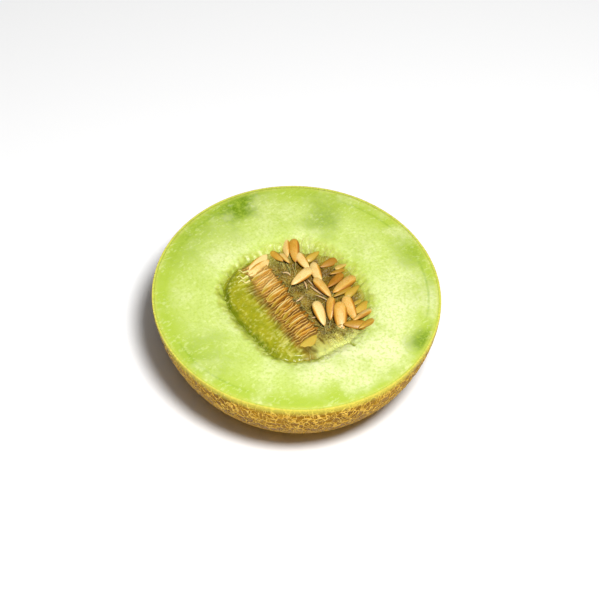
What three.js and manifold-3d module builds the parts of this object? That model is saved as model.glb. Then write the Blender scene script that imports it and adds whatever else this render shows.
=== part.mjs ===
// A netted canary melon cut lengthwise, lying on its rind with the cut face up.
//
// Millimetres, +Z up. The origin is the middle of the small flat that the rind rests on.
// +X runs along the fruit's own axis to the blossom end and -X to the stem end. The knife passed a
// little to one side of that axis, so the piece is slightly less than a true half.
//
//   melon_half  rind, flesh and the soft pulp round the seeds, which grew as one body
//   seed_comb   the row of seeds still standing on edge in the pulp, on the cord that they grew on
//   seed_heap   the seeds that fell over each other on the other side, on their own cord

import * as THREE from "three";
import { ConvexHull } from "three/addons/math/ConvexHull.js";
import { mergeVertices } from "three/addons/utils/BufferGeometryUtils.js";
import Module from "manifold-3d";

const wasm = await Module();
wasm.setup();

// ---- driving dimensions ----

const SEMI = new THREE.Vector3(66.5, 64.5, 65.5); // the whole fruit's half sizes at its skin
const REST_FLAT_DEPTH = 1.1; // how far the resting flat goes into the skin
const CENTRE_Z = SEMI.z - REST_FLAT_DEPTH;
const CUT_Z = 58; // height of the cut face

const NET = {
  cells: 860, // on the whole fruit
  jitter: 0.62, // how far a cell's middle strays, as a share of the cell spacing
  tallest: 1.15, // highest crossing of the cords above the skin
  lowest: 0.55, // lowest crossing above the skin
  cordHalf: 1.25, // half of a cord's width at its foot
  maxInset: 0.5, // most that a cord takes of a small cell
  fullFrom: 15, // the net is full this far from the stem, and gone halfway there
};
// The knife took everything above this height on the unit sphere, where one cell in six is enough.
const COARSE = { above: 0.16, keepOneIn: 6 };

const HOLLOW = {
  centre: new THREE.Vector2(1, 1), // of its outline in the cut face
  semi: new THREE.Vector2(34.5, 28.8),
  squareness: 2.3, // exponent of the outline, where 2 is an ellipse
  wall: 0.24, // share of its radius that its rounded wall takes
  deepest: 10, // depth that the wall would reach
  lip: 0.25, // how far its solid stands out of the cut face at the outline
};

const SEED = { length: 12.6, width: 5.2, thickness: 2.5 };
// A seed's width along its length: it narrows to the point, and its ends are rounded off.
const SEED_TAPER = { narrowing: 0.3, rounding: 0.16, fullness: 1.08 };
const STRAY = { place: 0.35, heading: 4, pitch: 2 }; // of one seed from its rank, mm and degrees
const CLEARANCE = 0.35; // between a seed and the pulp that holds it

// Where each set of random draws starts, and how many draws a rank and a seed may use.
const DRAWS = { crossings: 7000, comb: 100, heap: 900, perRank: 100, perSeed: 5 };

// The same small repeatable draw for every random choice, from -1 to 1.
const draw = (n) => {
  const s = Math.sin(n * 12.9898 + 4.1414) * 43758.5453;
  return 2 * (s - Math.floor(s)) - 1;
};

// ---- helpers ----

const solid = (geometry) => {
  const g = geometry.clone();
  for (const name of ["normal", "uv"]) g.deleteAttribute(name);
  const merged = mergeVertices(g, 1e-4);
  return new wasm.Manifold(
    new wasm.Mesh({
      numProp: 3,
      vertProperties: new Float32Array(merged.attributes.position.array),
      triVerts: new Uint32Array(merged.index.array),
    }),
  );
};

const geometryOf = (manifold) => {
  const mesh = manifold.getMesh();
  const positions = new Float32Array(mesh.numVert * 3);
  for (let i = 0; i < mesh.numVert; i++) {
    positions.set(mesh.vertProperties.subarray(i * mesh.numProp, i * mesh.numProp + 3), i * 3);
  }
  const geometry = new THREE.BufferGeometry();
  geometry.setAttribute("position", new THREE.BufferAttribute(positions, 3));
  geometry.setIndex(new THREE.BufferAttribute(new Uint32Array(mesh.triVerts), 1));
  geometry.computeVertexNormals();
  return geometry;
};

const indexed = (points, triangles) => {
  const geometry = new THREE.BufferGeometry();
  const flat = points.flatMap((p) => [p.x, p.y, p.z]);
  geometry.setAttribute("position", new THREE.Float32BufferAttribute(flat, 3));
  geometry.setIndex(triangles.flat());
  return geometry;
};

const block = (low, high) => {
  const size = high.clone().sub(low);
  const middle = low.clone().add(high).multiplyScalar(0.5);
  return solid(
    new THREE.BoxGeometry(size.x, size.y, size.z).translate(middle.x, middle.y, middle.z),
  );
};

const blend = THREE.MathUtils.lerp;
const step = THREE.MathUtils.smoothstep;

// ---- rind with its raised net ----

// Places a direction of the unit sphere on the fruit's skin, raised by some millimetres.
const onSkin = (direction, raised = 0) =>
  direction
    .clone()
    .multiply(SEMI)
    .addScaledVector(direction, raised)
    .add(new THREE.Vector3(0, 0, CENTRE_Z));

// Middles of the net's cells: an even spiral over the sphere, each moved at random.
const cellMiddles = () => {
  const middles = [];
  const turn = Math.PI * (3 - Math.sqrt(5));
  const stray = NET.jitter * Math.sqrt((4 * Math.PI) / NET.cells);
  for (let i = 0; i < NET.cells; i++) {
    const z = 1 - (2 * i + 1) / NET.cells;
    if (z > COARSE.above && i % COARSE.keepOneIn) continue;
    const r = Math.sqrt(1 - z * z);
    const move = new THREE.Vector3(draw(3 * i), draw(3 * i + 1), draw(3 * i + 2));
    middles.push(
      new THREE.Vector3(r * Math.cos(i * turn), r * Math.sin(i * turn), z)
        .addScaledVector(move, stray)
        .normalize(),
    );
  }
  return middles;
};

// The fruit as one closed skin. The middles' Delaunay triangles come from their convex hull. Each
// triangle gives one crossing of the net, and each middle one sunken cell with sloping sides.
const nettedFruit = () => {
  const faces = new ConvexHull().setFromPoints(cellMiddles()).faces;
  const points = [];
  const triangles = [];
  const add = (p) => points.push(p) - 1;

  const stem = new THREE.Vector3(-SEMI.x, 0, 0);
  const crossings = new Map();
  faces.forEach((face, n) => {
    const direction = face.midpoint.clone().normalize();
    const fromStem = direction.clone().multiply(SEMI).distanceTo(stem);
    const height = blend(NET.lowest, NET.tallest, (1 + draw(DRAWS.crossings + n)) / 2);
    const grown = step(fromStem, NET.fullFrom / 2, NET.fullFrom);
    crossings.set(face, { direction, index: add(onSkin(direction, height * grown)) });
  });

  const started = new Set();
  for (const face of faces) {
    for (let k = 0, edge = face.edge; k < 3; k++, edge = edge.next) {
      const middle = edge.head();
      if (started.has(middle)) continue;
      started.add(middle);
      // Walk round the middle, from triangle to triangle.
      const ring = [];
      let around = edge;
      do {
        ring.push(crossings.get(around.face));
        around = around.next.twin;
      } while (around !== edge);
      const centre = ring
        .reduce((sum, c) => sum.add(c.direction), new THREE.Vector3())
        .normalize();
      const inner = ring.map(({ direction }) => {
        const reach = direction.distanceTo(centre) * SEMI.x;
        const inset = Math.min(NET.maxInset, NET.cordHalf / reach);
        return add(onSkin(direction.clone().lerp(centre, inset).normalize()));
      });
      const outward = new THREE.Vector3()
        .crossVectors(
          ring[0].direction.clone().sub(centre),
          ring[1].direction.clone().sub(centre),
        )
        .dot(centre);
      const put = (a, b, c) => triangles.push(outward > 0 ? [a, b, c] : [a, c, b]);
      const count = ring.length;
      for (let i = 0; i < count; i++) {
        const j = (i + 1) % count;
        if (i > 0 && j > 0) put(inner[0], inner[i], inner[j]);
        put(inner[i], ring[i].index, ring[j].index);
        put(inner[i], ring[j].index, inner[j]);
      }
    }
  }
  return solid(indexed(points, triangles));
};

// ---- the seed hollow ----

// Depth of the pulp below the cut face along the line across the fruit, from [y, depth] pairs: a
// groove where the pulp has drawn away from the flesh, the flush pulp, the bed of the comb, the
// open trough and the slope under the heap.
const ACROSS = [
  [-28, 0],
  [-25.2, 3.8],
  [-22.6, 1.2],
  [-13, 0.9],
  [-11, 3.4],
  [-1.5, 4.6],
  [1, 8.6],
  [4.5, 10],
  [8, 8.4],
  [20, 7],
  [25.5, 4.4],
  [30, 0],
];

const acrossDepth = (y) => {
  const after = ACROSS.findIndex(([at]) => at > y);
  if (after <= 0) return 0;
  const [y0, d0] = ACROSS[after - 1];
  const [y1, d1] = ACROSS[after];
  return blend(d0, d1, step(y, y0, y1));
};

// share is 0 at the hollow's centre and 1 at its outline.
const hollowDepth = (y, share) => {
  const intoWall = Math.min(1, (1 - share) / HOLLOW.wall);
  return Math.min(acrossDepth(y), HOLLOW.deepest * Math.sin((intoWall * Math.PI) / 2));
};

const outlinePoint = (angle, share) => {
  const c = Math.cos(angle);
  const s = Math.sin(angle);
  const n = HOLLOW.squareness;
  const r = (Math.abs(c) ** n + Math.abs(s) ** n) ** (-1 / n);
  return new THREE.Vector2(c, s)
    .multiplyScalar(r * share)
    .multiply(HOLLOW.semi)
    .add(HOLLOW.centre);
};

// The solid that the hollow takes out: rings of points on its bed, closed above the cut face.
const hollow = () => {
  const sectors = 40;
  const rings = [0.14, 0.3, 0.45, 0.58, 0.7, 0.8, 0.88, 0.94, 1];
  const ceilingHeight = 4;
  const { x, y } = HOLLOW.centre;
  const points = [new THREE.Vector3(x, y, CUT_Z - acrossDepth(y))];
  const triangles = [];
  for (const share of rings) {
    for (let j = 0; j < sectors; j++) {
      const at = outlinePoint((2 * Math.PI * j) / sectors, share);
      const depth = share < 1 ? hollowDepth(at.y, share) : -HOLLOW.lip;
      points.push(new THREE.Vector3(at.x, at.y, CUT_Z - depth));
    }
  }
  const ceiling = points.push(new THREE.Vector3(x, y, CUT_Z + ceilingHeight)) - 1;
  const at = (ring, j) => 1 + ring * sectors + (j % sectors);
  for (let j = 0; j < sectors; j++) {
    triangles.push([0, at(0, j + 1), at(0, j)]);
    for (let r = 0; r + 1 < rings.length; r++) {
      triangles.push([at(r, j), at(r, j + 1), at(r + 1, j + 1)]);
      triangles.push([at(r, j), at(r + 1, j + 1), at(r + 1, j)]);
    }
    triangles.push([ceiling, at(rings.length - 1, j), at(rings.length - 1, j + 1)]);
  }
  return solid(indexed(points, triangles));
};

// ---- seeds ----

// A flat drop, lying along X with its pointed end at +X and its flat sides up and down.
const seedSolid = (grow) => {
  const sphere = new THREE.SphereGeometry(1, 6, 6).rotateZ(-Math.PI / 2);
  const position = sphere.attributes.position;
  for (let i = 0; i < position.count; i++) {
    const along = position.getX(i);
    const { narrowing, rounding, fullness } = SEED_TAPER;
    const taper = fullness * (1 - narrowing * along - rounding * along * along);
    position.setXYZ(
      i,
      along * (SEED.length / 2 + grow),
      position.getZ(i) * taper * (SEED.width / 2 + grow),
      -position.getY(i) * taper * (SEED.thickness / 2 + grow),
    );
  }
  return solid(sphere);
};

// Ranks of seeds, each spaced evenly from its first seed to its last. at is [x, y, depth of the
// middle below the cut face], and turn is [heading, pitch, roll] in degrees: the heading is where
// the point looks, from +X towards +Y, a positive pitch lifts the point, and a roll of 90 stands
// the seed on edge.
const COMB = [
  { count: 2, at: [[-27, -4, 2.6], [-24.5, -5, 2.9]], turn: [[103, 8, 38], [100, 6, 55]], stray: 1 },
  { count: 15, at: [[-21.6, -5, 3.4], [21.4, -7, 3.6]], turn: [[98, 5, 84], [93, 4, 78]], stray: 1 },
  { count: 1, at: [[25.6, -8.6, 3.4]], turn: [[84, 6, 30]], stray: 0 },
];
const HEAP = [
  // at the stem end
  { count: 3, at: [[-27.5, 8, 4.6], [-21.5, 12.6, 2.6]], turn: [[4, 6, 40], [-40, 4, 20]], stray: 1 },
  { count: 2, at: [[-26.5, 13.5, 3], [-17.2, 13.4, 1.8]], turn: [[-16, 4, 60], [-8, -4, 8]], stray: 0 },
  // fallen over the trough
  { count: 1, at: [[-9.4, 9, 1.6]], turn: [[-80, -4, -6]], stray: 0 },
  { count: 2, at: [[-8, 16, 1.5], [0.8, 13, 2.2]], turn: [[-22, -6, 10], [0, -8, -8]], stray: 0 },
  // the fan that points to the blossom end
  { count: 4, at: [[11.8, 5.4, 1.8], [16.6, 16.4, 1.6]], turn: [[-24, -5, -14], [-20, -5, 16]], stray: 1 },
  // the inner fan, under the first
  { count: 3, at: [[0.8, 19.2, 3.2], [9.4, 19, 3.2]], turn: [[116, 4, 12], [90, 2, -10]], stray: 1 },
  // the bank against the far wall
  { count: 4, at: [[-14, 22.4, 5], [-1, 25, 4.8]], turn: [[100, 12, 24], [74, 10, -16]], stray: 1 },
  { count: 6, at: [[8.5, 24, 5], [30, 14, 5.2]], turn: [[88, 10, 20], [62, 8, -20]], stray: 1 },
];

const seedsIn = (ranks, firstDraw) =>
  ranks.flatMap(({ count, at, turn, stray }, rank) =>
    Array.from({ length: count }, (_, i) => {
      const share = count > 1 ? i / (count - 1) : 0;
      const between = (pair, k) => blend(pair[0][k], (pair[1] ?? pair[0])[k], share);
      const key = firstDraw + DRAWS.perRank * rank + DRAWS.perSeed * i;
      return {
        place: [0, 1, 2].map((k) => between(at, k) + stray * STRAY.place * draw(key + k)),
        heading: between(turn, 0) + stray * STRAY.heading * draw(key + 3),
        pitch: between(turn, 1) + stray * STRAY.pitch * draw(key + 4),
        roll: between(turn, 2),
      };
    }),
  );

const placed = (seed, grow) => {
  const radians = THREE.MathUtils.degToRad;
  const turn = new THREE.Matrix4().makeRotationZ(radians(seed.heading));
  turn.multiply(new THREE.Matrix4().makeRotationY(-radians(seed.pitch)));
  turn.multiply(new THREE.Matrix4().makeRotationX(radians(seed.roll)));
  turn.setPosition(seed.place[0], seed.place[1], CUT_Z - seed.place[2]);
  return seedSolid(grow).transform(turn.elements);
};

// The cord of tissue that a group of seeds grew on, through [x, y, depth] points.
const CORD = { sides: 6, steps: 12 };
const COMB_CORD = {
  radius: 1.5,
  through: [[-28, -10, 4.6], [-10, -11, 5.2], [10, -12.4, 5.2], [26.5, -13, 4.8]],
};
const HEAP_CORD = {
  radius: 2.3,
  through: [[-29, 10, 6], [-16, 14.5, 5.2], [0, 16, 5.4], [14, 13.4, 4.5], [29, 12, 5.8]],
};

const cord = ({ radius, through }, grow) => {
  const path = new THREE.CatmullRomCurve3(
    through.map(([x, y, depth]) => new THREE.Vector3(x, y, CUT_Z - depth)),
  );
  const section = new THREE.Shape(
    Array.from({ length: CORD.sides }, (_, i) => {
      const angle = (2 * Math.PI * i) / CORD.sides;
      return new THREE.Vector2(Math.cos(angle), Math.sin(angle)).multiplyScalar(radius + grow);
    }),
  );
  return solid(new THREE.ExtrudeGeometry(section, { steps: CORD.steps, extrudePath: path }));
};

const seedGroup = (ranks, firstDraw, strand, grow) =>
  wasm.Manifold.union([
    cord(strand, grow),
    ...seedsIn(ranks, firstDraw).map((seed) => placed(seed, grow)),
  ]);
const comb = (grow) => seedGroup(COMB, DRAWS.comb, COMB_CORD, grow);
const heap = (grow) => seedGroup(HEAP, DRAWS.heap, HEAP_CORD, grow);

// ---- the object ----

const far = SEMI.x * 2;
const melonHalf = nettedFruit()
  .subtract(block(new THREE.Vector3(-far, -far, CUT_Z), new THREE.Vector3(far, far, far)))
  .subtract(block(new THREE.Vector3(-far, -far, -far), new THREE.Vector3(far, far, 0)))
  .subtract(hollow())
  .subtract(comb(CLEARANCE))
  .subtract(heap(CLEARANCE));

const MATERIALS = {
  melon: { color: 0xc9dc7a, roughness: 0.5 },
  comb: { color: 0xc9a765, roughness: 0.4 },
  heap: { color: 0xd9a552, roughness: 0.35 },
};

const object = new THREE.Group();
const addPiece = (name, manifold, material) => {
  const mesh = new THREE.Mesh(
    geometryOf(manifold),
    new THREE.MeshStandardMaterial({ ...material, metalness: 0 }),
  );
  mesh.name = name;
  object.add(mesh);
};
addPiece("melon_half", melonHalf, MATERIALS.melon);
addPiece("seed_comb", comb(0), MATERIALS.comb);
addPiece("seed_heap", heap(0), MATERIALS.heap);

export default object;
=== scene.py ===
"""Half of a netted melon, cut lengthwise: rind, flesh, pulp, seeds and their threads.

Everything is in metres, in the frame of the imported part: +Z up out of the cut face, +X along the
fruit's axis to the blossom end, and the origin under the middle of the rind. Forms that are worked
out in numpy are in millimetres until their mesh is made.
"""

import itertools
import math
from typing import NamedTuple

import bpy
import numpy as np
from bpy.props import FloatProperty, FloatVectorProperty, IntProperty, PointerProperty
from mathutils import Euler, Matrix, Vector


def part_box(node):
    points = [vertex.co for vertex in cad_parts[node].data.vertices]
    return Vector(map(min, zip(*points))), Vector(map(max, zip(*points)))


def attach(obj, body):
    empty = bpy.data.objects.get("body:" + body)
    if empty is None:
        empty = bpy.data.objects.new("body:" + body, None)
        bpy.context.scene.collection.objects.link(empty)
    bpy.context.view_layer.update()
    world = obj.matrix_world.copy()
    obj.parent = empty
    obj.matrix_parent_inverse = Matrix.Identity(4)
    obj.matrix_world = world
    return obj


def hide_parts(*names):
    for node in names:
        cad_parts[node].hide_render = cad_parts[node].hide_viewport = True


bl_info = {
    "name": "Netted Melon Half",
    "version": (1, 0, 0),
    "blender": (4, 5, 0),
    "location": "View3D > Sidebar > Melon",
    "description": "Builds a cut netted melon with its rind, flesh, pulp and seeds",
    "category": "Add Mesh",
}

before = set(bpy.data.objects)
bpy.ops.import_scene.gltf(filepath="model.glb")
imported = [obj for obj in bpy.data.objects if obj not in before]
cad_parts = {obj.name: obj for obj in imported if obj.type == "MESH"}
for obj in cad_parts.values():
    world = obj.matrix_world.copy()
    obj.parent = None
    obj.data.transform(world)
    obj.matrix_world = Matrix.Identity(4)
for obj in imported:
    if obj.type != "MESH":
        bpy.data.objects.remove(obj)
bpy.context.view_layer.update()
MM = 0.001

# ---- the fruit's form, as in the part's source, in millimetres ----

CUT_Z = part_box("melon_half")[1].z / MM
SEMI = np.array((66.5, 64.5, 65.5))
REST_FLAT_DEPTH = 1.1
CENTRE = np.array((0.0, 0.0, SEMI[2] - REST_FLAT_DEPTH))
MEAN_RADIUS = 65.0

HOLLOW_CENTRE = np.array((1.0, 1.0))
HOLLOW_SEMI = np.array((34.5, 28.8))
HOLLOW_SQUARENESS = 2.3
# The soft wall comes closer at the stem end, and runs straighter along the wedge of pulp.
STEM_SEMI, WEDGE_SEMI, WEDGE_SQUARENESS = 31.8, 31.4, 3.1

SEED_LENGTH, SEED_WIDTH, SEED_THICKNESS = 12.6, 5.2, 2.5
SEED_NARROWING, SEED_ROUNDING, SEED_FULLNESS = 0.3, 0.16, 1.08
# How far a seed may stray either way, in millimetres and in degrees.
STRAY_PLACE, STRAY_HEADING, STRAY_PITCH = 0.35, 4.0, 2.0
# Where the draws of the comb and the heap start, and how far apart those of their seeds are.
COMB_DRAWS, HEAP_DRAWS, DRAWS_PER_RANK, DRAWS_PER_SEED = 100, 900, 100, 5
SHADE_DRAW, ROLL_DRAW = 51, 61  # how far past a seed's first draw those of its tone and roll are


class Rank(NamedTuple):
    """A rank of seeds. Its values are spread evenly over it, and lie in between for other seeds."""

    seeds: int  # how many
    middles: tuple  # as (x, y, depth below the cut)
    turns: tuple  # as (heading, pitch, roll) in degrees
    tones: tuple  # from 0, cream, through 1, golden, to 2, brown
    stray: float = 0  # how much its seeds stray
    veils: tuple = (0,)  # how far pulp veils them, from 0 to 1
    sizes: tuple = (1,)  # how large they are beside a full seed


COMB = [
    Rank(
        2,
        ((-25.6, -3.4, 1.5), (-23, -4.8, 1.9)),
        ((110, 2, 22), (108, 2, 34)),
        (-0.5, -0.2),
        stray=0.5,
        sizes=(0.92, 1),
    ),
    Rank(
        15,
        ((-19.4, -5.6, 3), (20.4, -8.2, 3.2)),
        ((106, -1, 84), (107, -1, 82), (99, -1, 78)),
        (-0.5, 0.0, 0.7, 0.6, 1.1),
        stray=1,
        veils=(0, 0.1),
        sizes=(1, 0.97, 1.04, 0.95, 1.02),
    ),
    Rank(
        1,
        ((25.4, -11.0, 2.1),),
        ((108, 4, 26),),
        (0.9,),
        veils=(0.95,),
        sizes=(0.9,),
    ),
]
HEAP = [
    Rank(
        3,
        ((-25.4, 6.4, 2.6), (-22.4, 8.8, 2.4), (-27.2, 12.6, 2.4)),
        ((11, 2, 30), (1, 2, -20), (-26, -6, 32)),
        (1.1, 0.2, 0.2),
        veils=(0.3, 0.2, 0),
        sizes=(0.66, 0.56, 0.85),
    ),
    Rank(
        2,
        ((-23.4, 14.6, 1.8), (-16, 14.4, 2.2)),
        ((-29, -8, 24), (-2, -4, 20)),
        (0.9, 0.1),
        sizes=(1, 0.82),
    ),
    Rank(
        1,
        ((-8.6, 8.4, 1.6),),
        ((-80, -4, -6),),
        (0.1,),
        sizes=(1.04,),
    ),
    Rank(
        2,
        ((-6.4, 15.4, 1.9), (1.7, 13.2, 2.2)),
        ((-14, -8, 34), (2, -4, -10)),
        (0.1, 0.5),
        sizes=(0.96,),
    ),
    Rank(
        4,
        ((13, 4, 2.9), (13, 9.7, 3.4), (20.2, 10.2, 2.9), (18.4, 16.6, 2.6)),
        ((-15, -13, -12), (-36, -16, 34), (-30, -22, 4), (-11, -13, 24)),
        (0, 0.8, 0.75, 0.7),
        sizes=(1, 0.95, 1.24, 1.0),
    ),
    Rank(
        3,
        ((1.4, 20.4, 3), (5.2, 21.6, 2.2), (8.4, 19.6, 3)),
        ((-72, 2, 8), (-77, 4, 10), (-83, 2, 34)),
        (1.4, 0.8, 1.1),
        stray=0.5,
        veils=(0.1, 0.05, 0.6),
        sizes=(0.82, 1.1, 0.8),
    ),
    Rank(
        4,
        ((-16.6, 20, 3.0), (-8.8, 23.8, 2.6), (-2.6, 23.8, 2.4), (-4.2, 27, 2.0)),
        ((100, 8, 20), (-87, 4, -16), (-99, 4, 20), (80, 6, -10)),
        (0.8, 1.9, 1.8, 0.4),
        stray=0.5,
        veils=(0.8, 0.3, 0.4, 0.6),
        sizes=(0.66, 0.7, 0.6, 0.5),
    ),
    Rank(
        6,
        (
            (10.8, 23.6, 3.2),
            (15.2, 23.4, 4.4),
            (20.9, 20.8, 3),
            (24.4, 18.6, 2.4),
            (27.6, 13, 2.6),
            (30.4, 17.4, 2.2),
        ),
        (
            (100, 4, 10),
            (-80, 6, 20),
            (-82, 4, -20),
            (-85, 4, 30),
            (-124, 4, -10),
            (-83, 6, 20),
        ),
        (1.3, 1.5, 1.0, 0.6, 1.4, 0.8),
        stray=0.5,
        veils=(0.8, 0.9, 0.7, 0.1, 0.3, 0.4),
        sizes=(0.72, 0.66, 0.8, 0.86, 0.9, 0.82),
    ),
]

# Length, width and thickness beside a full seed's. Seeds of the comb are still pressed flat.
COMB_BUILD = (1.12, 1.0, 0.36)
HEAP_BUILD = (1.02, 0.88, 0.9)
FINE_ROLL = 3.2  # degrees that a seed may roll by, either way
# How many times as far the fine seeds stray as the part's plain ones.
COMB_LOOSENESS, HEAP_LOOSENESS = 1.9, 2.3
SHADE_STRAY = 0.7  # tones that a seed may be darker or paler by
SIZE_STRAY = 0.06  # share of its size that a seed may be larger or smaller by
ON_EDGE_FROM, ON_EDGE_TO = 35, 65  # degrees of roll over which a seed comes to stand on edge

# Depth of the pulp below the cut face along the line across the fruit, as (y, depth) pairs.
PULP_ACROSS = (
    (-32, 3.8), (-28.4, 3.4), (-26.4, 2.0), (-24.8, 0.9), (-13, 0.9), (-9.5, 1.7), (-1.2, 2.1),
    (1.4, 6.6), (4.8, 7.6), (8, 6.8), (17, 5.2), (24, 3.8), (26.5, 2.8), (29, 2.2), (31, 2.0),
)


def srgb(red, green, blue):
    """The linear colour of display values from 0 to 255."""
    values = (v / 255 for v in (red, green, blue))
    return tuple(v / 12.92 if v <= 0.04045 else ((v + 0.055) / 1.055) ** 2.4 for v in values)


def length(name, description, millimetres):
    """A size property, kept in metres."""
    return FloatProperty(
        name=name, description=description, default=millimetres * MM, unit="LENGTH", precision=5
    )


def colour(name, description, red, green, blue):
    """A colour property, from display values."""
    return FloatVectorProperty(
        name=name, description=description, default=srgb(red, green, blue),
        subtype="COLOR", size=3, min=0.0, max=1.0,
    )


# ---- what a user may change ----


class MelonSizes(bpy.types.PropertyGroup):
    """Sizes of the fine surface; the fruit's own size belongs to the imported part."""

    rind: length("Rind", "Thickness of the rind that shows at the cut", 1.0)
    net_cell: length("Net Cell", "Usual width of a large cell of the net", 3.7)
    fine_cell: length("Fine Cell", "Usual width of a small cell of the net", 2.1)
    cord_width: length("Cord Width", "Half of a net cord's width at its foot", 0.31)
    cord_height: length("Cord Height", "Height of the tallest cords", 0.28)
    bare_stem: length("Bare Stem End", "The net is full this far from the stem", 15)
    thread: length("Thread", "Radius of a seed's thread", 0.2)
    rind_steps: IntProperty(
        name="Rind Steps", description="Squares along one side of the rind's mesh", default=284
    )


class MelonColours(bpy.types.PropertyGroup):
    """Colours of the fruit."""

    skin: colour("Skin", "Skin between the cords", 172, 126, 4)
    skin_deep: colour("Deep Skin", "Skin where it is darkest", 122, 80, 0)
    cord: colour("Cord", "Cords of the net", 236, 198, 92)
    cut_rind: colour("Cut Rind", "Rind where it is cut", 196, 202, 84)
    flesh: colour("Flesh", "Flesh half way out", 195, 211, 115)
    flesh_band: colour("Outer Flesh", "Flesh next to the rind", 171, 192, 68)
    flesh_heart: colour("Inner Flesh", "Flesh next to the hollow", 223, 227, 170)
    flesh_deep: colour("Deep Flesh", "Flesh at the wet edge of the hollow", 124, 134, 14)
    pulp: colour("Pulp", "Wet pulp of the wedge", 158, 154, 32)
    # Painted darker than the pulp is, for the shade between the comb's seeds as well as its own brown.
    gap: colour("Gap", "Pulp between the seeds of the comb", 140, 96, 24)
    trough: colour("Trough", "Bottom of the open trough", 130, 102, 26)
    membrane: colour("Membrane", "Membranes and pale streaks of the pulp", 206, 202, 110)
    seed_pale: colour("Pale Seed", "Palest seeds", 225, 199, 130)
    seed_gold: colour("Golden Seed", "Seeds of a middle tone", 203, 150, 48)
    seed_deep: colour("Deep Seed", "Darkest seeds", 158, 98, 16)


class StageSettings(bpy.types.PropertyGroup):
    """Camera and light."""

    azimuth: FloatProperty(
        name="Azimuth", description="Camera's turn; 0 looks along +Y",
        default=math.radians(56), subtype="ANGLE",
    )
    elevation: FloatProperty(
        name="Elevation", description="Camera's height over the table as an angle",
        default=math.radians(50.2), subtype="ANGLE",
    )
    distance: length("Distance", "Camera to the middle of the cut face", 1300)
    frame_width: length("Frame Width", "What the picture's width covers at the cut face", 268.4)
    key: FloatProperty(name="Key", description="Power of the main soft light", default=17.5)
    side: FloatProperty(name="Side", description="Power of the broader light", default=3.0)
    fill: FloatProperty(name="Fill", description="Strength of the light all round", default=0.03)
    floor: colour("Floor", "The table under the fruit", 250, 250, 250)


# ---- repeatable chance, in numpy ----


def draw(n):
    """The part's own repeatable draw, from -1 to 1."""
    s = math.sin(n * 12.9898 + 4.1414) * 43758.5453
    return 2 * (s - math.floor(s)) - 1


def scattered(keys):
    """A repeatable number from -1 to 1 for each whole number in an array."""
    h = (keys * 374761393) & 0xFFFFFFFF
    h = ((h ^ (h >> 13)) * 1274126177) & 0xFFFFFFFF
    return ((h ^ (h >> 16)) & 0xFFFF) / 32767.5 - 1


LATTICE_STRIDES = (1, 7919, 104729)
SEED_START, SEED_STRIDE = 32452843, 15485863


def soft_noise(points, cell, seed):
    """Smooth noise from -1 to 1 over an array of points with 2 or 3 columns."""
    at = points / cell
    base = np.floor(at).astype(np.int64)
    part = at - base
    part = part * part * (3 - 2 * part)
    total = np.zeros(len(points))
    for corner in itertools.product((0, 1), repeat=points.shape[1]):
        weight = np.ones(len(points))
        key = np.full(len(points), seed * SEED_STRIDE + SEED_START, np.int64)
        for axis, step in enumerate(corner):
            weight *= part[:, axis] if step else 1 - part[:, axis]
            key += (base[:, axis] + step) * LATTICE_STRIDES[axis]
        total += weight * scattered(key)
    return total


def cell_walls(points, cell, seed):
    """1 on the walls between scattered cells and 0 in their middles, over points with 2 columns."""
    at = points / cell
    base = np.floor(at).astype(np.int64)
    nearest = np.full((2, len(points)), 9.0)
    for step in itertools.product((-1, 0, 1), repeat=2):
        across, up = base[:, 0] + step[0], base[:, 1] + step[1]
        key = seed * SEED_STRIDE + across + up * LATTICE_STRIDES[1]
        middle = base + step + 0.5 + 0.45 * np.stack((scattered(key), scattered(key + 51)), 1)
        distance = np.hypot(*(at - middle).T)
        second = np.minimum(np.maximum(nearest[0], distance), nearest[1])
        nearest = np.stack((np.minimum(nearest[0], distance), second))
    return np.clip(1 - (nearest[1] - nearest[0]) * 2.2, 0, 1)


def smooth(value, low, high):
    """A smooth step from 0 at low to 1 at high."""
    share = np.clip((value - low) / (high - low), 0, 1)
    return share * share * (3 - 2 * share)


# ---- the fruit's form, in numpy ----


def hollow_reach(x, y):
    """The hollow's half widths and its squareness, on the side of its middle where places lie."""
    wide = np.where(x < 0, STEM_SEMI, HOLLOW_SEMI[0])
    broad = np.where(y < 0, WEDGE_SEMI, HOLLOW_SEMI[1])
    return wide, broad, np.where(y < 0, WEDGE_SQUARENESS, HOLLOW_SQUARENESS)


def outline(angle, share):
    """Places in the cut face, a share of the way out to the hollow's outline."""
    c, s = np.cos(angle), np.sin(angle)
    wide, broad, n = hollow_reach(c, s)
    radius = share * (np.abs(c) ** n + np.abs(s) ** n) ** (-1 / n)
    return np.stack((c * radius * wide, s * radius * broad), -1) + HOLLOW_CENTRE


def hollow_share(points):
    """How far out places lie: 0 at the hollow's middle and 1 on its outline."""
    x, y = (points - HOLLOW_CENTRE).T
    wide, broad, n = hollow_reach(x, y)
    return (np.abs(x / wide) ** n + np.abs(y / broad) ** n) ** (1 / n)


def laid(places, depth):
    """Places of the cut face as points this deep below it."""
    return np.column_stack((places, CUT_Z - depth))


def pulp_across(y):
    """Depth of the pulp by the line across the fruit."""
    total = np.zeros_like(y)
    for (y0, d0), (y1, d1) in itertools.pairwise(PULP_ACROSS):
        inside = (y >= y0) & (y < y1)
        total[inside] = d0 + (d1 - d0) * smooth(y[inside], y0, y1)
    return total


# The main rank of the comb: its first and last seeds, its length along X, how far it comes towards
# the wedge, and the gaps between its seeds.
COMB_FIRST, COMB_LAST = COMB[1].middles
COMB_RUN, COMB_DROP = COMB_LAST[0] - COMB_FIRST[0], COMB_FIRST[1] - COMB_LAST[1]
COMB_GAPS = COMB[1].seeds - 1


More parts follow.
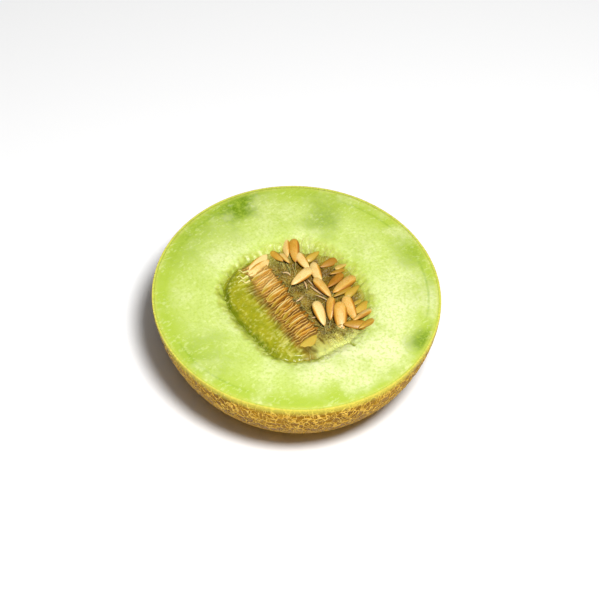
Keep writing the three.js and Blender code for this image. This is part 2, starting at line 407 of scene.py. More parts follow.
def comb_place(points):
    """How far across places lie from the comb, and the count of its seeds up to them along it."""
    x, y = points.T
    share = (x - COMB_FIRST[0]) / COMB_RUN
    across = y + COMB_DROP * share * smooth(y, -23, -15) * (1 - smooth(y, 2, 8))
    splay = 0.5 * np.maximum(0, -11 - across) * (1 - smooth(x, -22, 2))
    lean = (0.28 - 0.12 * share) * (across - COMB_FIRST[1])
    turns = COMB_GAPS * share + (lean + splay) * COMB_GAPS / COMB_RUN
    return across, turns


def bearing(points):
    """Cosine and sine of the direction from the hollow's middle, in its own proportions."""
    scaled = (points - HOLLOW_CENTRE) / HOLLOW_SEMI
    return scaled.T / np.maximum(np.hypot(*scaled.T), 1e-6)


def silk_ridges(points, share):
    """Fine fibres that run out of the hollow, from -1 to 1."""
    cosine, sine = bearing(points)
    around = np.stack((np.arctan2(sine, cosine) * 9, share * 1.6), -1)
    ridges = soft_noise(around, 0.4, 21) + 0.5 * soft_noise(around, 0.24, 22)
    return ridges * (0.5 + 0.5 * soft_noise(points, 7, 23))


def pulp_form(points):
    """Depth of the pulp and its zones, as a dictionary of arrays."""
    x, y = points.T
    share = hollow_share(points)
    stir = np.stack((soft_noise(points, 2.2, 3), soft_noise(points, 2.2, 4)), -1)
    across, turns = comb_place(points + 0.35 * stir)
    ragged = across + 0.9 * soft_noise(points, 1.6, 14)
    on_seed = 0.5 + 0.5 * np.cos(2 * np.pi * turns)
    fold = np.clip(np.cos(4 * np.pi * turns + 1.5 * soft_noise(points, 2.6, 19)), 0, 1) ** 1.4
    # Towards the blossom end the gap between the comb's seeds, with its painted shade, reaches further
    # into the wedge.
    gap_widening = 5.0 * smooth(x, -23, -13)
    wedge = 1 - smooth(ragged + gap_widening, -13.5, -9.5 + gap_widening) * smooth(x, -28.5, -26.5)
    gap = (1 - wedge) * (1 - smooth(across, 0.2, 2.4)) * (1 - smooth(x, 23, 27))
    trough = smooth(across, -0.4, 2.4) * (1 - smooth(y, 7.5, 12)) * smooth(x, -32, -29.5)
    bank = smooth(y, 7.5, 12)
    outer = smooth(share + 0.06 * soft_noise(points, 2.5, 15), 0.76, 0.98)
    walls = cell_walls(points + 0.55 * stir, 1.25, 11)
    fine_walls = cell_walls(points + 0.3 * stir, 0.7, 12)
    ridges = silk_ridges(points, share)
    fringe = smooth(share + 0.03 * soft_noise(points, 1.5, 16), 0.84, 0.94)
    groove = fringe * wedge * (1 - 0.7 * smooth(x, 14, 26)) * (1 - 0.7 * smooth(-x, 18, 27))
    stem = smooth(-x + 1.5 * soft_noise(points, 2.4, 24), 19, 27) * smooth(y, -3, 2)
    ragged_end = x + 3.0 * soft_noise(points, 3.0, 18)
    blossom = smooth(ragged_end, 17.5, 29) * smooth(y, -15, -8) * (1 - smooth(y, 10, 17))

    depth = pulp_across(across)
    depth += (2.6 - depth) * blossom
    depth += (3.3 - depth) * stem * smooth(depth, 2.4, 3.6)
    depth -= 0.3 * wedge * on_seed**4 * smooth(across, -22, -12)
    depth -= 0.75 * gap * fold * (0.8 + 0.4 * soft_noise(points, 3, 26))
    depth += 0.2 * soft_noise(points, 4.1, 5) + 0.1 * soft_noise(points, 1.3, 6)
    depth -= trough * (0.5 * walls + 0.2 * fine_walls + 1.0 * soft_noise(points, 3.6, 8))
    depth -= bank * (1 - outer) * (0.4 * walls + 0.8 * soft_noise(points, 4.2, 9))
    depth -= 0.3 * bank * smooth(share, 0.6, 0.9) * ridges
    wall = flesh_form(points)[0]
    depth += np.maximum(wall + 0.15 - depth, 0) * smooth(share, 0.9, 0.985)
    reach = smooth(across + 1.5 * soft_noise(points, 2.8, 17), -23, -12)
    streak = on_seed**4 * reach * wedge * (0.7 + 0.6 * soft_noise(points, 2, 10))
    lumps = wedge * smooth(x, 4, 20) * smooth(soft_noise(points, 1.5, 20), 0.1, 0.5)
    grain = trough * 0.4 * walls * (0.6 + 0.6 * soft_noise(points, 2.6, 13))
    silky = 0.4 * outer * bank * np.clip(ridges + 0.2, 0, 1)
    return {
        "depth": np.maximum(depth, 0.35),
        "wedge": wedge,
        "gap": gap,
        "fold": gap * np.maximum(fold, 0.6 * smooth(-x, 0, 16)),
        "trough": trough,
        "groove": groove,
        "outer": np.maximum(outer * np.maximum(bank, blossom), 0.5 * stem),
        "silk": blossom,
        "pale": np.clip(streak + grain + 0.6 * lumps + silky, 0, 1),
    }


CRACK = (31.5, 6.5, 5.3)  # a thin crack in the flesh along X: its start, length and Y
CRACK_WIDTH, CRACK_DEPTH = 0.6, 0.6


def flesh_form(points):
    """Depth of the flesh, its green edge and its fibres."""
    share = hollow_share(points)
    from_middle = np.hypot(*(points - HOLLOW_CENTRE).T)
    inside = from_middle * (1 - share) / np.maximum(share, 0.3)
    cosine, sine = bearing(points)
    crisp = smooth(-sine, -0.1, 0.3)
    blossom = smooth(cosine, 0.55, 0.9) * (1 - smooth(-sine, 0.1, 0.4))
    bank = smooth(sine, 0.0, 0.4) * (1 - blossom)
    stem = smooth(-cosine, 0.4, 0.9)
    inside = inside - (2.0 + 0.3 * bank + 1.2 * blossom) + 0.6 * soft_noise(points, 1.6, 36)
    softness = 2.2 + 0.7 * blossom
    rounded = softness * np.log1p(np.exp(np.clip(inside / softness, -30, 30)))
    depth = 11.5 * np.sin(np.minimum(1, rounded / 7.4) * np.pi / 2)
    near = np.exp(-(((inside + 2.4) / 4.2) ** 2)) * smooth(sine, -0.1, 0.3)
    tufted = smooth(soft_noise(points, 6, 35), -0.2, 0.5)
    ridges = silk_ridges(points, share) * (0.15 + 0.85 * tufted)
    depth -= (0.03 + 0.2 * blossom) * near * ridges
    depth += 0.12 * soft_noise(points, 11, 31) + 0.03 * soft_noise(points, 2.6, 32)
    wavering = inside + 1.3 * soft_noise(points, 4, 33) + 0.9 * soft_noise(points, 1.3, 34)
    strength = np.clip(0.45 + 0.45 * crisp - 0.05 * stem + 0.25 * bank - 0.25 * blossom, 0, 0.92)
    edge = smooth(wavering, -6.6 + 0.8 * crisp - 1.4 * bank, 0.8 - 1.1 * crisp) * strength
    along = np.clip((points[:, 0] - CRACK[0]) / CRACK[1], 0, 1)
    off_crack = np.hypot(points[:, 0] - CRACK[0] - CRACK[1] * along, points[:, 1] - CRACK[2])
    crack = np.exp(-((off_crack / CRACK_WIDTH) ** 2))
    depth += CRACK_DEPTH * crack
    edge = np.maximum(edge, crack)
    return depth, edge, near * np.clip(ridges, -1, 1)


# ---- meshes ----


def disc_grid(steps):
    """An even square grid laid over the unit disc: signed radius, angle, rim and squares."""
    u, v = np.meshgrid(np.linspace(-1, 1, steps + 1), np.linspace(-1, 1, steps + 1))
    u, v = u.ravel(), v.ravel()
    tall = np.abs(v) > np.abs(u)
    radius = np.where(tall, v, u)
    other = np.where(tall, u, v)
    slant = np.divide(other, radius, out=np.zeros_like(other), where=radius != 0) * np.pi / 4
    angle = np.where(tall, np.pi / 2 - slant, slant)
    index = np.arange((steps + 1) ** 2).reshape(steps + 1, steps + 1)
    rim = np.concatenate((index[0, :-1], index[:-1, -1], index[-1, :0:-1], index[:0:-1, 0]))
    squares = np.stack((index[:-1, :-1], index[:-1, 1:], index[1:, 1:], index[1:, :-1]), -1)
    return radius, angle, rim, squares.reshape(-1, 4)


def bands(rings):
    """Squares between rings of point numbers, each ring as long as the next."""
    rings = np.asarray(rings)
    after = np.roll(rings, -1, axis=1)
    return np.stack((rings[:-1], after[:-1], after[1:], rings[1:]), -1).reshape(-1, 4)


def fan(ring, middle, up):
    """Triangles from a ring to one point, facing up or down."""
    after = np.roll(ring, -1)
    pair = (ring, after) if up else (after, ring)
    return np.stack((*pair, np.full_like(ring, middle)), -1)


def stitch(fine, coarse):
    """Triangles between a ring and another with a quarter of its points."""
    after = np.roll(fine, -1)
    quarter = np.arange(len(fine)) // 4
    nearest = coarse[(quarter + (np.arange(len(fine)) % 4 > 1)) % len(coarse)]
    halfway = fine[2::4]
    span = np.stack((halfway, np.roll(coarse, -1), coarse), -1)
    return np.concatenate((np.stack((fine, after, nearest), -1), span))


def add_object(name, points, squares, triangles=(), **attributes):
    """An object in the scene from points in millimetres, with float attributes on its points."""
    mesh = bpy.data.meshes.new(name)
    mesh.vertices.add(len(points))
    mesh.vertices.foreach_set("co", (np.asarray(points) * MM).astype(np.float32).ravel())
    squares = np.asarray(squares, np.int64).reshape(-1, 4)
    triangles = np.asarray(triangles, np.int64).reshape(-1, 3)
    mesh.loops.add(squares.size + triangles.size)
    corners = np.concatenate((squares.ravel(), triangles.ravel()))
    mesh.loops.foreach_set("vertex_index", corners.astype(np.int32))
    starts = np.concatenate(
        (np.arange(len(squares)) * 4, squares.size + np.arange(len(triangles)) * 3)
    )
    mesh.polygons.add(len(starts))
    mesh.polygons.foreach_set("loop_start", starts.astype(np.int32))
    mesh.update(calc_edges=True)
    mesh.shade_smooth()
    for key, values in attributes.items():
        layer = mesh.attributes.new(key, "FLOAT", "POINT")
        layer.data.foreach_set("value", np.asarray(values, np.float32))
    piece = bpy.data.objects.new(name, mesh)
    bpy.context.collection.objects.link(piece)
    return piece


def keep(piece, slot, *nodes):
    """Puts a finished piece on the part's one body, in place of CAD nodes, which it hides; the slot is
    not used.
    """
    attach(piece, "root")
    if nodes:
        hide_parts(*nodes)


# ---- node trees ----


class Nodes:
    """Short calls that add nodes to a shader tree or a geometry tree and link them."""

    def __init__(self, tree):
        self.tree = tree

    def add(self, kind, inputs=(), **settings):
        node = self.tree.nodes.new(kind)
        for name, value in settings.items():
            setattr(node, name, value)
        for key, value in dict(inputs).items():
            if isinstance(value, bpy.types.NodeSocket):
                self.link(value, node.inputs[key])
            else:
                node.inputs[key].default_value = value
        return node

    def link(self, value, socket):
        self.tree.links.new(value, socket)

    def math(self, operation, *values, clamp=False):
        return self.add(
            "ShaderNodeMath", enumerate(values), operation=operation, use_clamp=clamp
        ).outputs[0]

    def times(self, product, *factors):
        for factor in factors:
            product = self.math("MULTIPLY", product, factor)
        return product

    def plus(self, first, second):
        return self.math("ADD", first, second)

    def minus(self, first, second):
        return self.math("SUBTRACT", first, second)

    def vector(self, operation, *values):
        node = self.add("ShaderNodeVectorMath", enumerate(values), operation=operation)
        return node.outputs["Value" if operation in ("LENGTH", "DISTANCE") else "Vector"]

    def scaled(self, vector, factor):
        node = self.add("ShaderNodeVectorMath", {0: vector, "Scale": factor}, operation="SCALE")
        return node.outputs["Vector"]

    def joined(self, x, y, z):
        """A vector of three numbers."""
        return self.add("ShaderNodeCombineXYZ", {0: x, 1: y, 2: z}).outputs[0]

    def parts(self, vector):
        """The three numbers of a vector."""
        return self.add("ShaderNodeSeparateXYZ", {0: vector}).outputs

    def step(self, value, low, high, start=0.0, end=1.0):
        """A smooth step from start where value is low to end where it is high."""
        inputs = {0: value, 1: low, 2: high, 3: start, 4: end}
        return self.add("ShaderNodeMapRange", inputs, interpolation_type="SMOOTHSTEP").outputs[0]

    def noise(self, vector, scale, detail=2.0, output="Fac"):
        inputs = {"Vector": vector, "Scale": scale, "Detail": detail}
        return self.add("ShaderNodeTexNoise", inputs).outputs[output]

    def walls(self, vector, scale):
        """Distance to the nearest wall between scattered cells."""
        inputs = {"Vector": vector, "Scale": scale}
        return self.add("ShaderNodeTexVoronoi", inputs, feature="DISTANCE_TO_EDGE").outputs["Distance"]

    def cells(self, vector, scale):
        """Distance to the nearest of scattered points."""
        inputs = {"Vector": vector, "Scale": scale}
        return self.add("ShaderNodeTexVoronoi", inputs, feature="F1").outputs["Distance"]

    def mix(self, factor, first, second, blend="MIX"):
        """A mix of two colours; a property's colour may be given as it is."""
        first, second = (
            c if isinstance(c, bpy.types.NodeSocket) else (*c[:3], 1.0) for c in (first, second)
        )
        inputs = {0: factor, 6: first, 7: second}
        return self.add("ShaderNodeMix", inputs, data_type="RGBA", blend_type=blend).outputs[2]

    def attribute(self, name, output="Fac"):
        """A mesh attribute, in a material."""
        return self.add("ShaderNodeAttribute", attribute_name=name).outputs[output]

    def named(self, name, kind="FLOAT"):
        """A mesh attribute, in a geometry tree."""
        return self.add(
            "GeometryNodeInputNamedAttribute", {"Name": name}, data_type=kind
        ).outputs[0]


def new_tree(name, kind, inputs, outputs):
    """An empty node group with its sockets, its input node and its output node."""
    tree = bpy.data.node_groups.new(name, kind)
    for direction, sockets in (("INPUT", inputs), ("OUTPUT", outputs)):
        for socket, socket_kind, *default in sockets:
            item = tree.interface.new_socket(socket, in_out=direction, socket_type=socket_kind)
            if default:
                item.default_value = default[0]
    n = Nodes(tree)
    return tree, n, n.add("NodeGroupInput").outputs, n.add("NodeGroupOutput").inputs


def placed_group(n, tree, values):
    """The outputs of a group node whose inputs are set or linked."""
    kind = "ShaderNodeGroup" if tree.bl_idname == "ShaderNodeTree" else "GeometryNodeGroup"
    return n.add(kind, values, node_tree=tree).outputs


def end_tree(n, geometry, material, out):
    """Ends a geometry tree with a plain mesh in its material."""
    real = n.add("GeometryNodeRealizeInstances", {0: geometry}).outputs[0]
    kept = n.add("GeometryNodeSetMaterial", {"Geometry": real, "Material": material})
    n.link(kept.outputs[0], out["Geometry"])


def baked(piece, tree, values):
    """Runs a geometry tree on a piece and keeps the result as its plain mesh."""
    modifier = piece.modifiers.new(tree.name, "NODES")
    modifier.node_group = tree
    for item in tree.interface.items_tree:
        if item.item_type == "SOCKET" and item.in_out == "INPUT" and item.name in values:
            modifier[item.identifier] = values[item.name]
    depsgraph = bpy.context.evaluated_depsgraph_get()
    mesh = bpy.data.meshes.new_from_object(
        piece.evaluated_get(depsgraph), preserve_all_data_layers=True, depsgraph=depsgraph
    )
    piece.modifiers.remove(modifier)
    before = piece.data
    piece.data = mesh
    bpy.data.meshes.remove(before)
    mesh.name = piece.name


FLOAT, VECTOR = "NodeSocketFloat", "NodeSocketVector"
GEOMETRY, MATERIAL = "NodeSocketGeometry", "NodeSocketMaterial"


def net_group(kind):
    """How high the net stands, 0 to 1, from a place on the fruit; one rule for form and colour."""
    name = "Melon Net " + ("Form" if kind == "GeometryNodeTree" else "Colour")
    if name in bpy.data.node_groups:
        return bpy.data.node_groups[name]
    tree, n, given, out = new_tree(
        name,
        kind,
        [
            ("Position", VECTOR),
            ("Net Cell", FLOAT, 3.7 * MM),
            ("Fine Cell", FLOAT, 2.1 * MM),
            ("Cord Width", FLOAT, 0.31 * MM),
            ("Bare Stem End", FLOAT, 15 * MM),
        ],
        [("Net", FLOAT), ("Corky", FLOAT)],
    )
    middle = n.vector("SUBTRACT", given["Position"], tuple(CENTRE * MM))
    unit = n.vector("NORMALIZE", n.vector("DIVIDE", middle, tuple(SEMI * MM)))
    place = n.scaled(unit, MEAN_RADIUS)
    along = n.vector("MULTIPLY", place, (1.1, 1.1, 0.6))
    wavy = along
    for scale, detail, amount in ((0.13, 1.0, 7.0), (0.6, 2.0, 2.0)):
        stir = n.vector("SUBTRACT", n.noise(along, scale, detail, "Color"), (0.5, 0.5, 0.5))
        wavy = n.vector("ADD", wavy, n.scaled(stir, amount))
    width = n.math("DIVIDE", given["Cord Width"], MM)
    uneven = n.step(n.noise(place, 0.2, 2.0), 0.3, 0.7, 0.6, 1.25)

    def cords(cell, vector, share):
        """1 along the middle of a cord, falling to 0 at its foot."""
        cell = n.math("DIVIDE", cell, MM)
        distance = n.times(n.walls(vector, n.math("DIVIDE", 1.0, cell)), cell)
        foot = n.times(width, uneven, share)
        return n.step(distance, n.times(foot, 0.25), foot, 1.0, 0.0)

    large = cords(given["Net Cell"], wavy, 1.15)
    small = cords(given["Fine Cell"], n.vector("ADD", wavy, (31.7, 11.3, 5.9)), 0.66)
    broken = n.step(n.noise(place, 0.3, 1.0), 0.36, 0.56, 0.1, 0.8)
    net = n.math("MAXIMUM", large, n.times(small, broken))
    from_stem = n.vector("DISTANCE", place, (-MEAN_RADIUS, 0.0, 0.0))
    bare = n.math("DIVIDE", given["Bare Stem End"], MM)
    net = n.times(net, n.step(from_stem, n.times(bare, 0.4), bare))
    from_blossom = n.vector("DISTANCE", place, (MEAN_RADIUS, 0.0, 0.0))
    ragged = n.plus(from_blossom, n.times(n.noise(place, 0.5, 2.0), 5.0))
    corky = n.step(ragged, 6.5, 9.5, 1.0, 0.0)
    crust = n.times(corky, n.step(n.noise(place, 1.6, 2.0), 0.35, 0.65, 0.35, 1.0))
    n.link(n.math("MAXIMUM", net, crust), out["Net"])
    n.link(corky, out["Corky"])
    return tree


def net_values(sizes):
    return {
        "Net Cell": sizes.net_cell,
        "Fine Cell": sizes.fine_cell,
        "Cord Width": sizes.cord_width,
        "Bare Stem End": sizes.bare_stem,
    }


def wet_group():
    """Wet cut fruit: juicy grains as a height, and glints where juice stands, painted as soft pale
    spots of colour.
    """
    if "Wet Grain" in bpy.data.node_groups:
        return bpy.data.node_groups["Wet Grain"]
    tree, n, given, out = new_tree(
        "Wet Grain",
        "ShaderNodeTree",
        [("Position", VECTOR), ("Grain", FLOAT, 0.001), ("Glints", FLOAT, 0.5)],
        [("Height", FLOAT), ("Glint", FLOAT)],
    )
    scale = n.math("DIVIDE", 1.0, given["Grain"])
    cells = n.cells(given["Position"], scale)
    soft = n.noise(given["Position"], n.times(scale, 0.7), 4.0)
    height = n.plus(n.times(cells, -0.35), soft)
    n.link(height, out["Height"])
    drawn = n.vector("MULTIPLY", given["Position"], (1.0, 0.55, 1.0))
    beads = n.step(n.noise(drawn, n.times(scale, 0.9), 2.0), 0.52, 0.66)
    where = n.step(n.noise(given["Position"], n.times(scale, 0.12), 2.0), 0.32, 0.6)
    glint = n.times(beads, where, given["Glints"])
    n.link(glint, out["Glint"])
    return tree


# ---- materials ----


def new_material(name, **settings):
    """A material with its Principled shader and values that are the same all over."""
    material = bpy.data.materials.new(name)
    material.use_nodes = True
    n = Nodes(material.node_tree)
    shader = material.node_tree.nodes["Principled BSDF"]
    for key, value in settings.items():
        shader.inputs[key.replace("_", " ")].default_value = value
    return material, n, shader


def object_place(n):
    return n.add("ShaderNodeTexCoord").outputs["Object"]


def bump(n, shader, height, distance, strength=1.0):
    inputs = {"Height": height, "Distance": distance, "Strength": strength}
    n.link(n.add("ShaderNodeBump", inputs).outputs["Normal"], shader.inputs["Normal"])


def ramp(n, value, stops):
    """A colour ramp through (place, colour) stops."""
    node = n.add("ShaderNodeValToRGB", {"Fac": value})
    elements = node.color_ramp.elements
    while len(elements) < len(stops):
        elements.new(0.5)
    for element, (place, tint) in zip(elements, stops):
        element.position = place
        element.color = (*tint[:3], 1.0)
    return node.outputs["Color"]


# Tints that the materials mix with the colours that a user may change.
# The second of these is a cord colour for the painted shade low on the rind.
WORN_CORD, SHADED_LOW_CORD = srgb(208, 162, 58), srgb(168, 124, 40)
CRUST = srgb(170, 128, 78)  # corky skin round the blossom scar
# Partly the rind's own paler edge at the cut, partly painted light on the top of the rind.
PALE_AND_LIT_RIND = srgb(212, 204, 80)  # the skin just under the cut
CUT_RIND_INSIDE, CUT_RIND_OUTSIDE = srgb(176, 192, 66), srgb(210, 184, 84)
FLESH_AT_RIND, FLESH_RIM = srgb(194, 202, 82), srgb(192, 200, 82)
GREEN_PATCH, VEIN = srgb(110, 140, 20), srgb(124, 158, 40)
HOLLOW_EDGE = srgb(174, 182, 74)
FIBRE_LIGHT, FIBRE_SHADE = srgb(222, 224, 150), srgb(120, 126, 32)
# Painted highlights: pale colour laid where the wet grain glints.
FLESH_GLINT, PULP_GLINT = srgb(234, 240, 180), srgb(216, 214, 130)
DULL_PULP, SOFT_PULP = srgb(92, 68, 12), srgb(136, 114, 32)
DEEP_WEDGE, WEDGE_STREAK = srgb(142, 144, 24), srgb(186, 186, 74)
# The first of these is the pulp between the comb's seeds: partly brown pulp, partly painted shade
# between the seeds.
SHADED_GAP, FOLD = srgb(98, 62, 10), srgb(216, 172, 92)
DEEP_TROUGH, OUTER_PULP = srgb(82, 62, 8), srgb(156, 152, 50)
DEEP_SILK, SILK, OUTER_SILK = srgb(98, 80, 16), srgb(172, 162, 76), srgb(200, 208, 118)
# Dark green along the wedge's edge: partly the wet green there, partly painted shade in the groove
# beside the flesh.
GROOVE = srgb(108, 120, 14)
SEED_VEIL = srgb(174, 158, 50)  # pulp over a seed
DARK_THREAD, PALE_THREAD, SCRAP = srgb(104, 84, 18), srgb(216, 214, 130), srgb(196, 168, 120)
TABLE_SHADE = srgb(244, 243, 241)


def rind_material(sizes, colours):
    material, n, shader = new_material("netted_rind", Roughness=0.5, Specular_IOR_Level=0.02)
    place = object_place(n)
    net = placed_group(n, net_group("ShaderNodeTree"), {"Position": place, **net_values(sizes)})
    tone = n.noise(place, 55.0, 4.0)
    fine = n.noise(place, 420.0, 3.0)
    skin = n.mix(n.step(tone, 0.35, 0.68), colours.skin_deep, colours.skin)
    skin = n.mix(n.times(fine, 0.35), skin, colours.skin_deep, "MULTIPLY")
    cord = n.mix(n.step(fine, 0.35, 0.7), WORN_CORD, colours.cord)
    height = n.parts(place)["Z"]
    # Painted shade: skin and cords are darkened towards the bottom of the rind, where the light from
    # above falls off.
    low = n.step(height, 0.05, 0.024)
    skin = n.mix(n.times(low, 0.9), skin, colours.skin_deep)
    cord = n.mix(n.times(low, 0.5), cord, SHADED_LOW_CORD)
    net_mask = n.step(net["Net"], 0.25, 0.75)
    surface = n.mix(net_mask, skin, cord)
    surface = n.mix(n.times(net["Corky"], 0.6), surface, CRUST)
    # Partly painted light: the rind is lighter and yellower over the top 6 mm below the cut.
    pale_and_lit_top = n.step(height, (CUT_Z - 6) * MM, (CUT_Z - 0.3) * MM, 0.0, 0.85)
    surface = n.mix(pale_and_lit_top, surface, PALE_AND_LIT_RIND)
    at_cut = n.step(height, (CUT_Z - 0.06) * MM, (CUT_Z - 0.01) * MM)
    middle = n.vector("SUBTRACT", place, tuple(CENTRE * MM))
    outness = n.vector("LENGTH", n.vector("DIVIDE", middle, tuple(SEMI * MM)))
    cut = ramp(
        n,
        n.step(outness, 0.982, 1.004),
        [
            (0.0, CUT_RIND_INSIDE),
            (0.5, colours.cut_rind),
            (1.0, CUT_RIND_OUTSIDE),
        ],
    )
    n.link(n.mix(at_cut, surface, cut), shader.inputs["Base Color"])
    rough = n.plus(0.36, n.times(net_mask, 0.3))
    n.link(rough, shader.inputs["Roughness"])
    pores = n.plus(n.noise(place, 900.0, 2.0), n.times(net["Net"], 1.2))
    bump(n, shader, pores, 0.00022, 0.7)
    return material


# Deeper green patches of the flesh: (x, y) in the cut face in millimetres, radius and strength.
DEEP_PATCHES = (
    ((-62, 8), 12, 1.0),
    ((-56, -10), 15, 0.3),
    ((-30, 35), 9, 0.6),
    ((-42, 44), 12, 0.2),
    ((8, 58), 10, 0.4),
    ((54, 33), 8, 0.9),
    ((5, -52), 14, 0.35),
    ((30, 54), 12, 0.2),
    ((-52, -28), 14, 0.25),
)
# Whiter patches, in the same terms: partly paler flesh, partly a painted sheen where the face looks
# brighter towards the blossom end.
PALE_AND_LIT_PATCHES = (
    ((-33, -11), 12, 0.6),
    ((44, 0), 15, 1.0),
    ((35, -10), 6, 0.8),
    ((50, 14), 12, 0.9),
    ((40, -16), 12, 0.7),
    ((36, 50), 9, 0.7),
    ((36, 28), 13, 0.7),
    ((22, 40), 14, 0.5),
    ((-6, 40), 8, 0.5),
    ((-48, 18), 10, 0.35),
    ((56, -8), 7, 0.5),
)


def patches(n, place, spots, tint, towards):
    """Lays soft ragged spots of another colour over a tint."""
    ragged = n.noise(place, 110.0, 3.0)
    for (x, y), radius, amount in spots:
        away = n.vector("DISTANCE", place, (x * MM, y * MM, CUT_Z * MM))
        away = n.plus(away, n.times(n.minus(ragged, 0.5), radius * MM * 1.6))
        mask = n.step(away, 0.1 * radius * MM, 1.5 * radius * MM, amount, 0.0)
        tint = n.mix(mask, tint, towards)
    return tint


VEIN_DEPTH = 6.6  # the line of veins wavers, up to this far inside the rim


def flesh_material(colours):
    material, n, shader = new_material(
        "cut_flesh", Roughness=0.35, Subsurface_Weight=0.25, Subsurface_Scale=0.002,
        Subsurface_Radius=(0.9, 1.0, 0.35), Specular_IOR_Level=0.35,
    )
    place = object_place(n)
    from_rim = n.attribute("from_rim")
    wavering = n.plus(from_rim, n.times(n.noise(place, 45.0, 3.0), 5.0))
    tint = ramp(
        n,
        n.math("DIVIDE", wavering, 36.0, clamp=True),
        [
            (0.06, FLESH_AT_RIND),
            (0.1, colours.flesh_band),
            (0.22, colours.flesh_band),
            (0.5, colours.flesh),
            (1.0, colours.flesh),
        ],
    )
    tint = patches(n, place, PALE_AND_LIT_PATCHES, tint, colours.flesh_heart)
    tint = patches(n, place, DEEP_PATCHES, tint, GREEN_PATCH)
    # The thin darker line of veins that runs round inside the rind, here and there.
    waved = n.plus(from_rim, n.times(n.noise(place, 30.0), 1.8))
    off_line = n.minus(waved, VEIN_DEPTH)
    line = n.step(n.math("ABSOLUTE", off_line), 0.1, 0.9, 1.0, 0.0)
    line = n.times(line, n.step(n.noise(place, 22.0), 0.42, 0.6))
    tint = n.mix(n.step(from_rim, 0.9, 3.2, 0.8, 0.0), tint, FLESH_RIM)
    tint = n.mix(n.times(line, 0.5), tint, VEIN)
    cloud = n.noise(place, 75.0, 5.0)
    tint = n.mix(n.step(cloud, 0.5, 0.75, 0.0, 0.45), tint, colours.flesh_heart)
    tint = n.mix(n.step(cloud, 0.5, 0.25, 0.0, 0.5), tint, colours.flesh_band)
    edge = n.attribute("edge")
    tint = n.mix(n.step(edge, 0.0, 0.5, 0.0, 0.85), tint, HOLLOW_EDGE)
    tint = n.mix(n.step(edge, 0.5, 1.0, 0.0, 0.9), tint, colours.flesh_deep)
    fibres = n.attribute("fibres")
    tint = n.mix(n.step(fibres, 0.05, 0.6, 0.0, 0.35), tint, FIBRE_LIGHT)
    tint = n.mix(n.step(fibres, -0.05, -0.6, 0.0, 0.25), tint, FIBRE_SHADE)
    wet = placed_group(n, wet_group(), {"Position": place, "Grain": 0.0011, "Glints": 0.26})
    # Painted highlights of juice on the flesh.
    tint = n.mix(wet["Glint"], tint, FLESH_GLINT)
    tint = n.mix(n.step(wet["Height"], 0.4, 0.1, 0.0, 0.5), tint, colours.flesh_band)
    n.link(tint, shader.inputs["Base Color"])
    rough = n.step(n.noise(place, 260.0, 2.0), 0.35, 0.7, 0.34, 0.58)
    n.link(rough, shader.inputs["Roughness"])
    bump(n, shader, wet["Height"], 0.00022, 0.45)
    return material


def pulp_material(colours):
    material, n, shader = new_material(
        "wet_pulp", Subsurface_Weight=0.3, Subsurface_Scale=0.003,
        Subsurface_Radius=(0.9, 0.8, 0.2), Coat_Roughness=0.2,
        Specular_IOR_Level=0.25,
    )
    place = object_place(n)
    names = ("wedge", "gap", "fold", "trough", "groove", "outer", "silk", "pale")
    zones = {name: n.attribute(name) for name in names}
    cloud = n.noise(place, 230.0, 4.0)
    blotch = n.step(cloud, 0.35, 0.68)
    streaks = n.noise(n.vector("MULTIPLY", place, (1.0, 0.2, 1.0)), 650.0, 3.0)
    tint = n.mix(blotch, DULL_PULP, SOFT_PULP)
    green = n.mix(blotch, DEEP_WEDGE, colours.pulp)
    green = n.mix(n.step(streaks, 0.55, 0.75, 0.0, 0.35), green, WEDGE_STREAK)
    tint = n.mix(zones["wedge"], tint, green)
    # Partly painted shade: the pulp between the comb's seeds is dark brown, its own brown and the
    # shade between the seeds.
    between = n.mix(blotch, SHADED_GAP, colours.gap)
    between = n.mix(n.step(zones["fold"], 0.3, 0.95, 0.0, 0.9), between, FOLD)
    tint = n.mix(zones["gap"], tint, between)
    tint = n.mix(zones["trough"], tint, n.mix(blotch, DEEP_TROUGH, colours.trough))
    tint = n.mix(n.times(zones["outer"], 0.9), tint, OUTER_PULP)
    strands = n.noise(n.vector("MULTIPLY", place, (0.35, 1.0, 1.0)), 420.0, 4.0)
    silk = n.mix(n.step(strands, 0.38, 0.62), DEEP_SILK, SILK)
    silk = n.mix(n.times(zones["outer"], 0.85), silk, OUTER_SILK)
    tint = n.mix(zones["silk"], tint, silk)
    # Partly painted shade: the groove along the wedge's edge is darkened to a deep green.
    tint = n.mix(zones["groove"], tint, GROOVE)
    tint = n.mix(n.times(zones["pale"], 0.7), tint, colours.membrane)
    wet = placed_group(n, wet_group(), {"Position": place, "Grain": 0.0009, "Glints": 0.4})
    wet_part = n.step(zones["wedge"], 0.3, 0.9, 0.15, 1.0)
    # Painted highlights of juice, mostly on the wedge.
    tint = n.mix(n.times(wet["Glint"], wet_part), tint, PULP_GLINT)
    n.link(tint, shader.inputs["Base Color"])
    n.link(n.step(wet_part, 0.15, 1.0, 0.46, 0.3), shader.inputs["Roughness"])
    n.link(n.times(wet_part, 0.08), shader.inputs["Coat Weight"])
    bump(n, shader, n.times(n.plus(wet["Height"], streaks), wet_part), 0.00018, 0.4)
    return material


TONES = 2.0  # tones run from 0 to this


